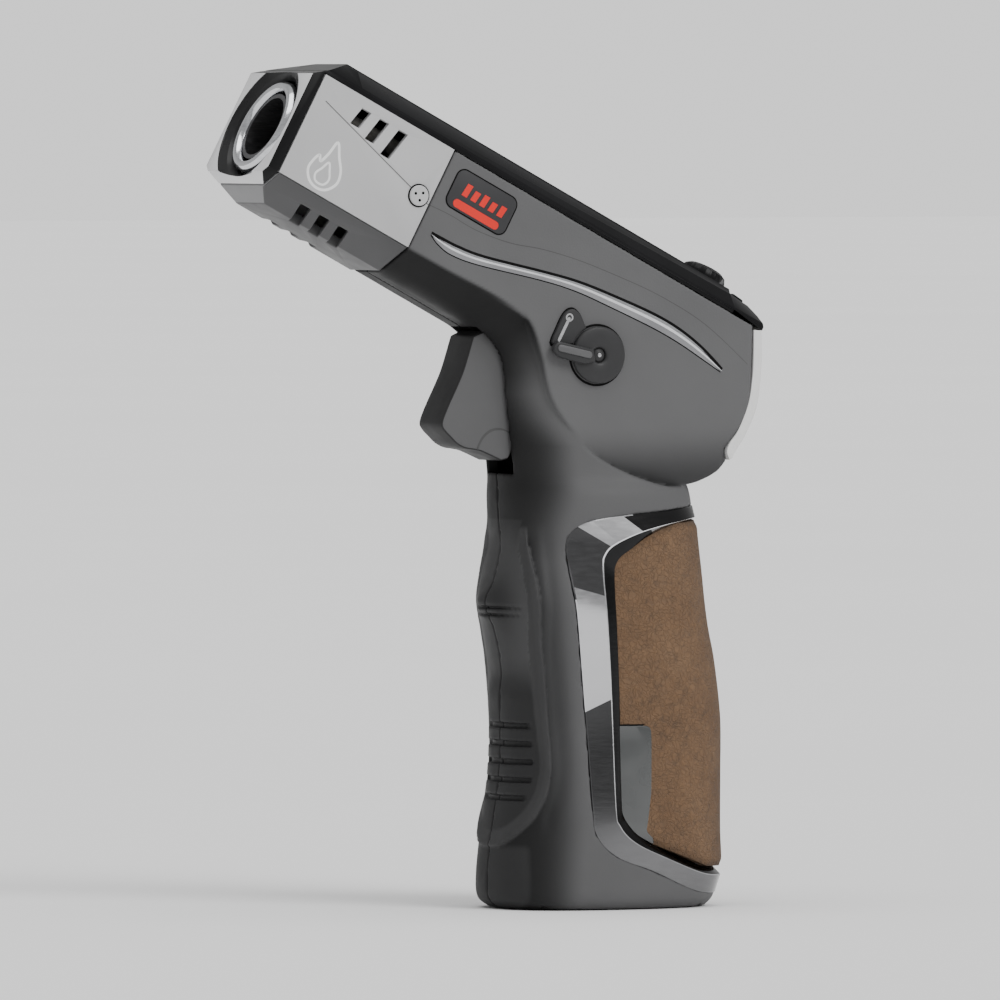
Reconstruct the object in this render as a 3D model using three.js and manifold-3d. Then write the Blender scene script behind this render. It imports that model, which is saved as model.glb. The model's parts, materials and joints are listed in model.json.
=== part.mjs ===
// Pistol-shaped butane torch that stands on its own base.
// Millimetres. +Z is up, the barrel points towards -X and upwards, and the near side is -Y.
// The origin is the centre of the flat base.
import * as THREE from 'three'
import { mergeVertices } from 'three/addons/utils/BufferGeometryUtils.js'
import Module from 'manifold-3d'

const wasm = await Module()
wasm.setup()

// ---- driving dimensions -------------------------------------------------------------------

const GAP = 0.3 // between pieces that meet
const WALL = 2 // moulded wall

// The barrel has its own frame: u runs backwards along it, h is at right angles upwards,
// and both are counted from the centre of the muzzle ring.
const TILT = THREE.MathUtils.degToRad(28)
const MUZZLE = { x: -66.4, z: 141.4 }

const HEAD = {
  half: 13, // half the width
  sideTop: 11.1, // upper edge of the flat side
  sideLow: -8.7, // lower edge of the flat side
  top: 16.1,
  topHalf: 7,
  bottom: -13.5,
  bottomHalf: 6,
  panelStart: 2.4,
  panelEnd: 31.2,
  rear: 101,
}
// The nose is cut back above and below: each cut runs from the front face to where it meets
// the top or the underside.
const NOSE = { frontTop: 10, topEnd: 8, frontLow: -9.7, lowEnd: 5.5, recess: 12.2 }
const PANEL_SCREW = { u: 28.7, h: 0.5 }
const RAIL_STEP = { start: 94.2, high: 14.9, low: 13.4 } // lower rear end of the top cover

const BODY_HALF = 12.2 // half width of the shells beside the covers
const COVER = { face: 13, thick: 1.3 }
const BADGE = { u: 40.3, h: 5.3, length: 13, height: 7.2, proud: 0.3, thick: 0.8 }
const INLAY_THICK = 0.6

// Grip sections from the base upwards: front and back on the centre plane, and half width.
const GRIP = [
  { z: 0, front: -18.6, back: 20.8, half: 14 },
  { z: 1.8, front: -20.6, back: 22.2, half: 15.8 },
  { z: 6, front: -20.9, back: 23.2, half: 16 },
  { z: 14, front: -20, back: 22.9, half: 16 },
  { z: 24, front: -18.6, back: 22.9, half: 15.9 },
  { z: 34, front: -18.3, back: 22.9, half: 15.7 },
  { z: 44, front: -19, back: 21.7, half: 15.6 },
  { z: 50, front: -20.2, back: 20.5, half: 15.5 },
  { z: 55, front: -21.5, back: 19.8, half: 15.4 },
  { z: 60, front: -20.1, back: 19.2, half: 15.3 },
  { z: 66, front: -18.6, back: 18.4, half: 15.2 },
  { z: 74, front: -18.8, back: 17.6, half: 14.7 },
  { z: 78, front: -19, back: 16.2, half: 13.2 },
  { z: 84, front: -19.6, back: 13, half: 13 },
  { z: 94, front: -20.6, back: 9, half: 13.2 },
  { z: 104, front: -21.4, back: 4, half: 12 },
]
const GRIP_ROUNDNESS = 2.5 // exponent of the superellipse section
const GRIP_SIDES = 28

const RING = { outer: 9.1, bore: 6.85, start: 0.6, end: 7 }
const BURNER = { outer: 6.55, inner: 5.75, start: 1.4, end: 26 }
const MIXER = { outer: 4.2, inner: 2.6, start: 26.3, end: 40 }
const JET = { outer: 1.9, holder: 4.2, start: 36, shoulder: 40.3, end: 48 }

const TRIGGER = { half: 4.8, travel: 5 }
const DIAL = { x: -5.3, z: 99.6, radius: 5.15, back: 13.3, face: 14.3 }
const KNOB = { u: 91.6, radius: 4.4, low: 16.4, high: 18.7 }
const TANK = { low: 7, high: 62, front: -12, back: 8.5, half: 9.3 }
const VALVE = { x: -8, low: 62.3, high: 70.5, radius: 3.6 }
const REFILL = { x: -7, radius: 3.4 }
const SPARK = { h: 8.6, tip: 9, start: 12, end: 28 }
const PIEZO = { h: -22.4, plungerStart: 72.3, start: 82, end: 95.5, half: 3.9 }
const LEVER = { x: -3, z: 77, thick: 1.2, y: 5.4, tabLow: 71.8 }
const TRIGGER_SPRING = { radius: 3.1, wire: 0.35, turns: 4 }
const REFILL_BODY = { bottom: 1.2, top: 15, stem: 1 }
const BASE_SCREW = { x: 13, top: 7.6 }

// Grip trim: depths are measured inwards from the grip's surface.
const FRAME_DEPTH = 2.2
const LEATHER = { depth: 1.3, backDepth: -0.5, thick: 1.5 }
const LINER = 1.1 // shell wall under the leather

// ---- materials ----------------------------------------------------------------------------

function material(color, roughness, metalness = 0, extra = {}) {
  return new THREE.MeshStandardMaterial({ color, roughness, metalness, ...extra })
}

const gunmetal = material(0x5a5a5c, 0.45)
const darkShell = material(0x303032, 0.5)
const glossBlack = material(0x121214, 0.18)
const silverPaint = material(0xb4b5b7, 0.35, 0.6)
const shroudGrey = material(0x5c5d60, 0.4, 0.3)
const chrome = material(0xd8d9dc, 0.15, 1)
const steel = material(0x9a9c9f, 0.35, 1)
const brass = material(0xb8924a, 0.35, 1)
const ceramic = material(0xe8e4da, 0.5)
const whitePlastic = material(0xe6e6e6, 0.4)
const blackPlastic = material(0x1a1a1c, 0.45)
const badgeBlack = material(0x17181a, 0.25)
const leather = material(0x7a5c3e, 0.85)
const smoke = material(0x585a5a, 0.2, 0, { transparent: true, opacity: 0.5 })
const tankClear = material(0x8f9698, 0.3, 0, { transparent: true, opacity: 0.6 })
const rubber = material(0x202020, 0.8)
const wireRed = material(0x8a2a22, 0.6)
const felt = material(0xd8d2c0, 0.95)

// ---- geometry helpers ---------------------------------------------------------------------

function solid(geometry) {
  const bare = geometry.clone()
  bare.deleteAttribute('normal')
  bare.deleteAttribute('uv')
  const merged = mergeVertices(bare, 1e-4)
  const triVerts = []
  for (let i = 0; i < merged.index.count; i += 3) {
    const [a, b, c] = [0, 1, 2].map((k) => merged.index.getX(i + k))
    if (a !== b && b !== c && c !== a) triVerts.push(a, b, c)
  }
  const mesh = new wasm.Mesh({
    numProp: 3,
    vertProperties: Float32Array.from(merged.attributes.position.array),
    triVerts: Uint32Array.from(triVerts),
  })
  return new wasm.Manifold(mesh)
}

function surface(manifold) {
  const mesh = manifold.getMesh()
  const geometry = new THREE.BufferGeometry()
  geometry.setAttribute('position', new THREE.BufferAttribute(Float32Array.from(mesh.vertProperties), 3))
  geometry.setIndex(Array.from(mesh.triVerts))
  geometry.computeVertexNormals()
  return geometry
}

function cut(first, ...others) {
  return others.reduce((body, other) => body.subtract(other), first)
}

function join(first, ...others) {
  return others.reduce((body, other) => body.add(other), first)
}

function shapeOf(points) {
  return new THREE.Shape(points.map(([x, y]) => new THREE.Vector2(x, y)))
}

// A side-view outline in X and Z, from y = low to y = high, with its edges bevelled and its
// sides moved inwards by `inset`.
function sideSlab(shape, low, high, bevel = 0, inset = 0) {
  const geometry = new THREE.ExtrudeGeometry(shape, {
    depth: high - low - 2 * bevel,
    bevelEnabled: bevel > 0,
    bevelThickness: bevel,
    bevelSize: bevel,
    bevelOffset: -bevel - inset,
    bevelSegments: 1,
    curveSegments: 8,
  })
  geometry.rotateX(Math.PI / 2)
  return geometry.translate(0, high - bevel, 0)
}

// A section in Y and h, run along the barrel from u = start to u = end, in the barrel's frame.
function alongBarrel(points, start, end, bevel = 0) {
  const geometry = new THREE.ExtrudeGeometry(shapeOf(points), {
    depth: end - start - 2 * bevel,
    bevelEnabled: bevel > 0,
    bevelThickness: bevel,
    bevelSize: bevel,
    bevelOffset: -bevel,
    bevelSegments: 1,
  })
  const [x, y, z] = [new THREE.Vector3(1, 0, 0), new THREE.Vector3(0, 1, 0), new THREE.Vector3(0, 0, 1)]
  geometry.applyMatrix4(new THREE.Matrix4().makeBasis(y, z, x))
  return geometry.translate(start + bevel, 0, 0)
}

function box(low, high) {
  const size = high.map((value, i) => value - low[i])
  const centre = high.map((value, i) => (value + low[i]) / 2)
  return new THREE.BoxGeometry(...size).translate(...centre)
}

// A turned piece: [radius, distance] pairs along +X, closed on the axis or on itself.
function turned(profile, sides = 24) {
  const points = profile.map(([radius, along]) => new THREE.Vector2(radius, along))
  if (profile[0][0] > 0) points.push(points[0].clone())
  return new THREE.LatheGeometry(points, sides).rotateZ(-Math.PI / 2)
}

function tubeProfile(outer, inner, start, end) {
  return [[inner, start], [outer, start], [outer, end], [inner, end]]
}

function rodProfile(radius, start, end) {
  return [[0, start], [radius, start], [radius, end], [0, end]]
}

// The same, standing along +Z, or lying along +Y.
function turnedUp(profile, sides = 24) {
  return turned(profile, sides).rotateY(-Math.PI / 2)
}

function turnedAcross(profile, sides = 24) {
  return turned(profile, sides).rotateZ(Math.PI / 2)
}

function wire(points, radius, steps, sides = 8) {
  const path = new THREE.CatmullRomCurve3(points.map((p) => new THREE.Vector3(...p)))
  const section = new THREE.Shape()
  section.absarc(0, 0, radius, 0, 2 * Math.PI)
  return new THREE.ExtrudeGeometry(section, { steps, extrudePath: path, curveSegments: sides,
    bevelEnabled: false })
}

function spring(radius, wireRadius, start, end, turns) {
  const points = []
  const perTurn = 10
  for (let i = 0; i <= turns * perTurn; i++) {
    const angle = (i / perTurn) * 2 * Math.PI
    const along = start + wireRadius + ((end - start - 2 * wireRadius) * i) / (turns * perTurn)
    points.push([radius * Math.cos(angle), radius * Math.sin(angle), along])
  }
  return wire(points, wireRadius, turns * perTurn, 3)
}

function barrelPoint(u, h) {
  return [MUZZLE.x + u * Math.cos(TILT) + h * Math.sin(TILT),
    MUZZLE.z - u * Math.sin(TILT) + h * Math.cos(TILT)]
}

const barrelFrame = new THREE.Matrix4()
  .makeRotationY(TILT)
  .setPosition(MUZZLE.x, 0, MUZZLE.z)

function inPlace(geometry) {
  return geometry.clone().applyMatrix4(barrelFrame)
}

// ---- scene graph --------------------------------------------------------------------------

const torch = new THREE.Group()
const barrel = new THREE.Group()
barrel.position.set(MUZZLE.x, 0, MUZZLE.z)
barrel.rotation.y = TILT
torch.add(barrel)

function piece(parent, name, geometry, look) {
  const mesh = new THREE.Mesh(geometry, look)
  mesh.name = name
  parent.add(mesh)
  return mesh
}

// ---- head section and outlines ------------------------------------------------------------

// The eight-sided section of the head, drawn in by `inset` all round.
function headSection(inset = 0) {
  const h = HEAD
  const right = [
    [h.bottomHalf, h.bottom + inset],
    [h.half - inset, h.sideLow + inset / 2],
    [h.half - inset, h.sideTop - inset / 2],
    [h.topHalf, h.top - inset],
  ]
  return [...right, ...right.map(([y, z]) => [-y, z]).reverse()]
}

// Flat side covers: along the barrel at the top, round the rear lobe, and up the front crease.
const LOBE = [
  barrelPoint(HEAD.panelEnd + GAP, HEAD.sideTop - GAP),
  barrelPoint(HEAD.panelEnd + GAP, HEAD.sideLow),
  [-34.5, 114.8], [-24.3, 109.8], [-18.6, 105.7], [-16, 99], [-14.6, 92.8], [-12, 88.2], [-7.4, 83.2],
  [-1.8, 79.5], [4.9, 76.9], [10, 75.8], [15.4, 76.3], [19.6, 78.2], [21.4, 80.4], [20.7, 82.4],
  [23.1, 85.5], [25.2, 89.6], [25.9, 95], [26.2, 103.4],
]
const TRIM_INNER = [[20.7, 82.4], [23.1, 85.5], [25.2, 89.6], [25.9, 95], [26.2, 103.4]]
const TRIM_OUTER = [[28, 103.2], [27.8, 94.7], [27, 89.4], [24.8, 84.8], [22, 80.6]]

// The body under the covers, from the shroud back to the rear.
const BODY_OUTLINE = [
  barrelPoint(HEAD.panelEnd + GAP, HEAD.sideTop - GAP),
  barrelPoint(HEAD.panelEnd + GAP, HEAD.bottom),
  barrelPoint(53, HEAD.bottom), [-19, 99], [-16, 90], [-9, 82], [2, 76.4], [11, 74.3], [17.2, 75.4],
  [21.3, 79.4],
  [20.3, 82.4], [22.7, 85.7], [24.8, 89.8], [25.5, 95], [25.8, 103.3],
]

// ---- grip body ----------------------------------------------------------------------------

function superellipse(front, back, half, z, sides) {
  const centre = (front + back) / 2
  const reach = (back - front) / 2
  const power = 2 / GRIP_ROUNDNESS
  return Array.from({ length: sides }, (_, i) => {
    const angle = (i / sides) * 2 * Math.PI
    const [c, s] = [Math.cos(angle), Math.sin(angle)]
    const x = centre + reach * Math.sign(c) * Math.abs(c) ** power
    return new THREE.Vector3(x, half * Math.sign(s) * Math.abs(s) ** power, z)
  })
}

// Closed solid through rings of points that each go round counter-clockwise, from low to high.
function loft(rings) {
  const count = rings[0].length
  const centre = (ring) => ring.reduce((sum, p) => sum.add(p), new THREE.Vector3()).divideScalar(count)
  const points = [...rings.flat(), centre(rings[0]), centre(rings.at(-1))]
  const last = (rings.length - 1) * count
  const index = []
  for (let i = 0; i < count; i++) {
    const next = (i + 1) % count
    for (let base = 0; base < last; base += count) {
      index.push(base + i, base + next, base + count + next)
      index.push(base + i, base + count + next, base + count + i)
    }
    index.push(points.length - 2, next, i)
    index.push(points.length - 1, last + i, last + next)
  }
  const geometry = new THREE.BufferGeometry().setFromPoints(points)
  geometry.setIndex(index)
  return geometry
}

function gripBody(inset, low = 0, high = Infinity, backInset = inset) {
  const rings = GRIP.filter(({ z }) => z >= low && z <= high).map(({ z, front, back, half }) =>
    superellipse(front + inset, back - backInset, half - inset, z, GRIP_SIDES))
  return solid(loft(rings))
}

// ---- grip frame, leather and window -------------------------------------------------------

// C-shaped outlines on the side of the grip, open to the rear.
const FRAME_OUTER = [
  [24, 73], [12.4, 71.9], [0.8, 70.9], [-7.6, 69.7], [-11.2, 67], [-11.4, 62.6], [-9.8, 51.8], [-8.2, 33.8],
  [-7.2, 18.5], [-6.4, 13.2], [-2.6, 9.4], [4.4, 6.8], [14.4, 2.9], [24, 2.2],
]
const FRAME_INNER = [
  [24, 7.2], [16.4, 7.4], [5.2, 11.6], [0.6, 14.2], [-1, 18.5], [-1.4, 37.4], [-2.2, 60.5], [0.5, 64.2],
  [12.8, 68.8], [24, 69.4],
]
const LEATHER_OUTLINE = [
  [24, 7.6], [16.8, 7.8], [5.4, 12], [1, 14.5], [-0.6, 18.7], [-1, 37.4], [-1.8, 60.3], [0.8, 63.8],
  [12.9, 68.4], [24, 69],
]
const WINDOW = [[0.4, 16.6], [5.4, 14], [5.4, 31.4], [4.2, 32.6], [0, 32.6]]

function sideRegion(outline) {
  return solid(sideSlab(shapeOf(outline), -30, 30))
}

function makeGripFrame() {
  const band = gripBody(0, 1.8, 84).subtract(gripBody(FRAME_DEPTH, 1.8, 84))
  return cut(band.intersect(sideRegion(FRAME_OUTER)), sideRegion(FRAME_INNER))
}

// The leather is thicker towards the back, where it stands proud of the frames.
function leatherBody(inset) {
  return gripBody(LEATHER.depth + inset, 1.8, 84, LEATHER.backDepth + inset)
}

function makeLeather() {
  const band = leatherBody(0).subtract(leatherBody(LEATHER.thick))
  return cut(band.intersect(sideRegion(LEATHER_OUTLINE)), sideRegion(WINDOW))
}

function makeWindow(side) {
  const pane = WINDOW.map(([x, z]) => [x + (x > 4 ? -GAP : GAP), z + (z > 20 ? -GAP : GAP)])
  const band = leatherBody(0.2).subtract(leatherBody(LEATHER.thick))
  const half = side < 0 ? solid(box([-30, -30, 0], [30, -1, 80])) : solid(box([-30, 1, 0], [30, 30, 80]))
  return band.intersect(sideRegion(pane)).intersect(half)
}

// ---- trigger and shells -------------------------------------------------------------------

const TRIGGER_OUTLINE = [
  [-26, 103], [-28, 96.8], [-30.6, 91.4], [-32.3, 87.4], [-30.4, 84.8], [-27.6, 82.9], [-24.1, 82.2],
  [-20.4, 80.6], [-18.9, 80.9], [-10.4, 97], [-23.6, 104],
]

// The space that the trigger sweeps between the shells.
const TRIGGER_SLOT = [
  [-26.8, 104.6], [-44, 96], [-44, 78.6], [-21, 78.6], [-13, 77.4], [-4.4, 94.3], [-10.2, 98], [-23.4, 105],
]

function triggerSlot() {
  return solid(sideSlab(shapeOf(TRIGGER_SLOT), -TRIGGER.half - 0.4, TRIGGER.half + 0.4))
}

// Screw bosses that join the two shells: across the head and across the rear lobe.
const BOSSES = [
  { name: 'housing_screw_head', x: -2.3, z: 112.9 },
  { name: 'housing_screw_lobe', x: 17.5, z: 90 },
]

function makeShell() {
  const bodyOuter = solid(sideSlab(shapeOf(BODY_OUTLINE), -BODY_HALF, BODY_HALF))
  const section = solid(inPlace(alongBarrel(headSection(), HEAD.panelEnd + GAP, 130)))
  const lobe = solid(box([-23, -BODY_HALF, 70], [40, BODY_HALF, 106]))
  const outer = join(bodyOuter.intersect(join(section, lobe)), gripBody(0))
  const hollowOutline = [
    barrelPoint(HEAD.panelEnd - 1, HEAD.sideTop + 1), barrelPoint(HEAD.panelEnd - 1, HEAD.bottom + WALL),
    barrelPoint(52, HEAD.bottom + WALL), [-17, 99], [-14, 91], [-7.6, 83.6], [2, 78.6], [11, 76.6],
    [16.4, 77.4],
    [17.6, 81], [20.6, 87], [22.4, 93], [23, 105.4],
  ]
  const inner = join(
    solid(sideSlab(shapeOf(hollowOutline), -10.4, 10.4)).intersect(
      join(solid(inPlace(alongBarrel(headSection(WALL), HEAD.panelEnd - 1, 130))),
        solid(box([-21, -10.4, 72], [38, 10.4, 104])))),
    gripBody(LEATHER.depth + LEATHER.thick + GAP + LINER, 1.8, 94),
    solid(box([-15, -11, -1], [17, 11, 3])),
  )
  const aboveCovers = solid(inPlace(box([20, -30, HEAD.sideTop - GAP], [130, 30, 40])))
  const seat = (floor, outline) => cut(gripBody(-1, 0, 84), floor).intersect(sideRegion(grown(outline)))
  const walls = cut(outer, inner)
  const bosses = BOSSES.map(({ x, z }) => across(2.6, -10.6, 10.6, x, z))
  const holes = BOSSES.map(({ x, z }) => join(across(1.1, -9, 13, x, z), across(2.1, 10.1, 13, x, z)))
  const baseBoss = solid(box([BASE_SCREW.x - 2.6, -2.6, 2.7],
    [21, 2.6, BASE_SCREW.top])).intersect(gripBody(1))
  const baseHole = solid(turnedUp(rodProfile(1.1, 0, BASE_SCREW.top - 0.8), 14).translate(BASE_SCREW.x, 0, 0))
  const pinHole = across(1.6, -20, 0, DIAL.x, DIAL.z)
  return cut(join(walls, ...bosses, baseBoss), ...holes, baseHole, pinHole, aboveCovers, triggerSlot(),
    coverSeat(),
    gripGrooves(), seat(gripBody(FRAME_DEPTH + GAP, 0, 84), FRAME_OUTER),
    seat(leatherBody(LEATHER.thick + GAP), LEATHER_OUTLINE))
}

function across(radius, low, high, x, z) {
  return solid(turnedAcross(rodProfile(radius, low, high), 16).translate(x, 0, z))
}

// The frame's outline, moved outwards by the gap.
function grown(outline) {
  return outline.map(([x, z]) => [x < 20 ? x - GAP : x, z > 40 ? z + GAP : z - GAP])
}

// Seats of the side covers, open towards the heat panels.
function coverSeat() {
  const floor = COVER.face - COVER.thick - GAP
  const front = HEAD.panelEnd - 1
  const outline = shapeOf([barrelPoint(front, HEAD.sideTop + 1), barrelPoint(front, HEAD.sideLow),
    ...LOBE.slice(1)])
  return join(solid(sideSlab(outline, floor, 30)), solid(sideSlab(outline, -30, -floor)))
}

// Five finger grooves across the front of the grip.
function gripGrooves() {
  const grooves = [0, 1, 2, 3, 4].map((i) => {
    const z = 19.4 + i * 3.25
    return solid(box([-30, -7.5, z], [-18.2, 7.5, z + 1.2]))
  })
  return join(...grooves)
}

function half(body, side) {
  const room = side < 0 ? box([-120, -30, -5], [120, -GAP / 2, 200]) : box([-120, GAP / 2, -5],
    [120, 30, 200])
  return body.intersect(solid(room))
}

// ---- housings and outside trim ------------------------------------------------------------

function addShells() {
  const shell = makeShell()
  for (const [name, side] of [['grip_shell_left', -1], ['grip_shell_right', 1]]) {
    piece(torch, name, surface(half(shell, side)), darkShell)
  }
  const frame = makeGripFrame()
  piece(torch, 'grip_frame_left', surface(half(frame, -1)), chrome)
  piece(torch, 'grip_frame_right', surface(half(frame, 1)), chrome)
  piece(torch, 'leather_saddle', surface(makeLeather()), leather)
  piece(torch, 'fuel_window_left', surface(makeWindow(-1)), smoke)
  piece(torch, 'fuel_window_right', surface(makeWindow(1)), smoke)
}

const INLAY = [
  [-38.3, 121.4], [-34.5, 119.1], [-27.9, 116.8], [-16.1, 114], [-8.9, 112.3], [-1.3, 109.6], [6.4, 106.6],
  [11.5, 103.6], [19.7, 96.7], [11.5, 102.4], [6.4, 105.2], [-1.3, 108.1], [-8.9, 110.8], [-16.1, 112.4],
  [-27.9, 115.2], [-34.5, 117.9],
]

function badgeOutline(grow) {
  const [l, t] = [BADGE.length / 2 + grow, BADGE.height / 2 + grow]
  const corner = 1.4
  const local = [
    [-l + corner, -t], [l - corner, -t], [l, -t + corner], [l, t - corner],
    [l - corner, t], [-l + corner, t], [-l, t - corner], [-l, -t + corner],
  ]
  return shapeOf(local.map(([u, h]) => barrelPoint(BADGE.u + u, BADGE.h + h)))
}

function widened(outline, amount) {
  const middle = outline.length / 2
  return outline.map(([x, z], i) => [x, z + (i === 0 || i === middle ? 0 : i < middle ? amount : -amount)])
}

function addSideCovers() {
  const dialHole = solid(turnedAcross(rodProfile(1.5, -20, 0), 16).translate(DIAL.x, 0, DIAL.z))
  for (const [name, side] of [['left', -1], ['right', 1]]) {
    const span = (low, high) => (side < 0 ? [-high, -low] : [low, high])
    const { face, thick } = COVER
    const badgeBack = face + BADGE.proud - BADGE.thick
    const inlayBack = face - INLAY_THICK + 0.2
    const cover = solid(sideSlab(shapeOf(LOBE), ...span(face - thick, face), 0.3, GAP / 2))
    const pocket = solid(sideSlab(badgeOutline(GAP), ...span(badgeBack - GAP, 16)))
    const groove = solid(sideSlab(shapeOf(widened(INLAY, 0.35)), ...span(inlayBack - GAP, 16)))
    const cutters = side < 0 ? [pocket, groove, dialHole] : [pocket, groove]
    piece(torch, `side_cover_${name}`, surface(cut(cover, ...cutters)), gunmetal)
    piece(torch, `badge_${name}`, sideSlab(badgeOutline(0), ...span(badgeBack, face + BADGE.proud)),
      badgeBlack)
    piece(torch, `spear_inlay_${name}`, sideSlab(shapeOf(INLAY), ...span(inlayBack,
      inlayBack + INLAY_THICK)), chrome)
  }
}

function addRearTrim() {
  const outline = shapeOf([...TRIM_INNER.map(([x, z]) => [x + GAP, z]), ...TRIM_OUTER])
  piece(torch, 'rear_trim', sideSlab(outline, -HEAD.half, HEAD.half, 0.5), whitePlastic)
}

function addTopCover() {
  const h = HEAD
  const outside = [
    [h.half, h.sideTop], [h.topHalf, h.top], [-h.topHalf, h.top], [-h.half, h.sideTop],
    [-h.half + WALL, h.sideTop], [-h.topHalf + 1, h.top - WALL], [h.topHalf - 1, h.top - WALL],
    [h.half - WALL, h.sideTop],
  ]
  const knobHole = solid(turnedUp(rodProfile(2, 0, 30), 16).translate(KNOB.u, 0, 0))
  const channel = solid(alongBarrel(outside, h.panelStart, h.rear))
  const end = solid(alongBarrel(outside.slice(0, 4), RAIL_STEP.start, h.rear))
  const front = solid(alongBarrel(outside.slice(0, 4), h.panelStart, NOSE.topEnd + 2))
  const step = solid(sideSlab(shapeOf([
    [RAIL_STEP.start, 20], [RAIL_STEP.start, RAIL_STEP.high], [h.rear - 2, RAIL_STEP.high - 0.4],
    [h.rear + 0.1, RAIL_STEP.low], [h.rear + 0.1, 20],
  ]), -14, 14))
  piece(barrel, 'top_cover', surface(cut(join(channel, front, end), knobHole, step, noseCuts())), glossBlack)
}

// ---- head front ---------------------------------------------------------------------------

// Slanted vent slots in the heat panels: upper end along the barrel, lower end, and slant.
const VENTS = [
  { u: 11.6, low: 5.6, slant: 0.9 },
  { u: 15.6, low: 4.5, slant: 1.1 },
  { u: 19.8, low: 3.5, slant: 1.3 },
]

// Everything in front of the two slanted cuts of the nose.
function noseCuts() {
  const n = NOSE
  const above = [[n.topEnd, HEAD.top], [n.topEnd + 4, 30], [-10, 30], [-10, n.frontTop], [0, n.frontTop]]
  const below = [[n.lowEnd, HEAD.bottom], [0, n.frontLow], [-10, n.frontLow], [-10, -30], [n.lowEnd + 4, -30]]
  return join(solid(sideSlab(shapeOf(above), -30, 30)), solid(sideSlab(shapeOf(below), -30, 30)))
}

function addHeatPanels() {
  const h = HEAD
  for (const [name, side] of [['left', -1], ['right', 1]]) {
    const span = (low, high) => (side < 0 ? [-high, -low] : [low, high])
    const [low, high] = span(h.half - 1.2, h.half)
    const plate = solid(box([h.panelStart, low, h.sideLow + GAP], [h.panelEnd, high, h.sideTop - GAP]))
    const slots = VENTS.map(({ u, low: foot, slant }) =>
      solid(sideSlab(shapeOf([[u, 9.1], [u - slant, foot], [u - slant + 2, foot],
        [u + 2, 9.1]]), low - 1, high + 1)))
    const hole = turnedAcross(rodProfile(1.1, low - 1, high + 1), 12).translate(PANEL_SCREW.u, 0,
      PANEL_SCREW.h)
    piece(barrel, `heat_panel_${name}`, surface(cut(plate, ...slots, solid(hole), noseCuts())), silverPaint)
    addPanelScrew(name, side)
  }
}

function addPanelScrew(name, side) {
  const [tip, seat, top] = [HEAD.half - 5, HEAD.half + 0.25, HEAD.half + 0.6]
  const profile = [[0, tip], [0.9, tip], [0.9, seat], [1.8, seat], [1.7, top], [0, top]]
  const screw = turnedAcross(profile, 14)
  if (side < 0) screw.rotateZ(Math.PI)
  piece(barrel, `panel_screw_${name}`, screw.translate(PANEL_SCREW.u, 0, PANEL_SCREW.h), steel)
}

function addShroud() {
  const h = HEAD
  const section = [
    [h.half, h.sideLow], [h.bottomHalf, h.bottom], [-h.bottomHalf, h.bottom], [-h.half, h.sideLow],
    [-h.half + WALL, h.sideLow], [-h.bottomHalf + 1, h.bottom + WALL], [h.bottomHalf - 1, h.bottom + WALL],
    [h.half - WALL, h.sideLow],
  ]
  const channel = solid(alongBarrel(section, h.panelStart, h.panelEnd))
  const plug = [[11.5, NOSE.frontLow], [6, h.bottom + 0.5], [-6, h.bottom + 0.5], [-11.5, NOSE.frontLow]]
  const front = solid(alongBarrel(plug, h.panelStart, NOSE.lowEnd + 2))
  piece(barrel, 'front_shroud', surface(cut(join(channel, front), ...shroudSlots(), noseCuts())), shroudGrey)
}

// Three slanted slots through each lower corner.
function shroudSlots() {
  return [-1, 1].flatMap((side) => [10.3, 14.5, 18.7].map((u) => {
    const outline = shapeOf([[u, 9.6 * side], [u + 1.6, 4 * side], [u + 3.7, 4 * side],
      [u + 2.1, 9.6 * side]])
    const slot = new THREE.ExtrudeGeometry(outline, { depth: 11, bevelEnabled: false })
    return solid(slot.translate(0, 0, -19.8))
  }))
}

function addNose() {
  const back = HEAD.panelStart - GAP
  const plate = solid(alongBarrel(headSection(), 0, back))
  const mouth = solid(turned([[0, -1], [NOSE.recess, -1], [NOSE.recess, 0.2],
    [RING.outer + 0.3, back + 0.1], [0, back + 0.1]], 36))
  piece(barrel, 'nose_cap', surface(cut(plate, mouth, noseCuts())), glossBlack)
  const { outer, bore, start, end } = RING
  const ring = [[bore, start + 0.6], [bore + 0.7, start], [outer - 0.7, start], [outer, start + 0.7],
    [outer, end], [bore, end]]
  piece(barrel, 'muzzle_ring', turned(ring, 36), chrome)
}

// ---- burner, gas and spark ----------------------------------------------------------------

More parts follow.
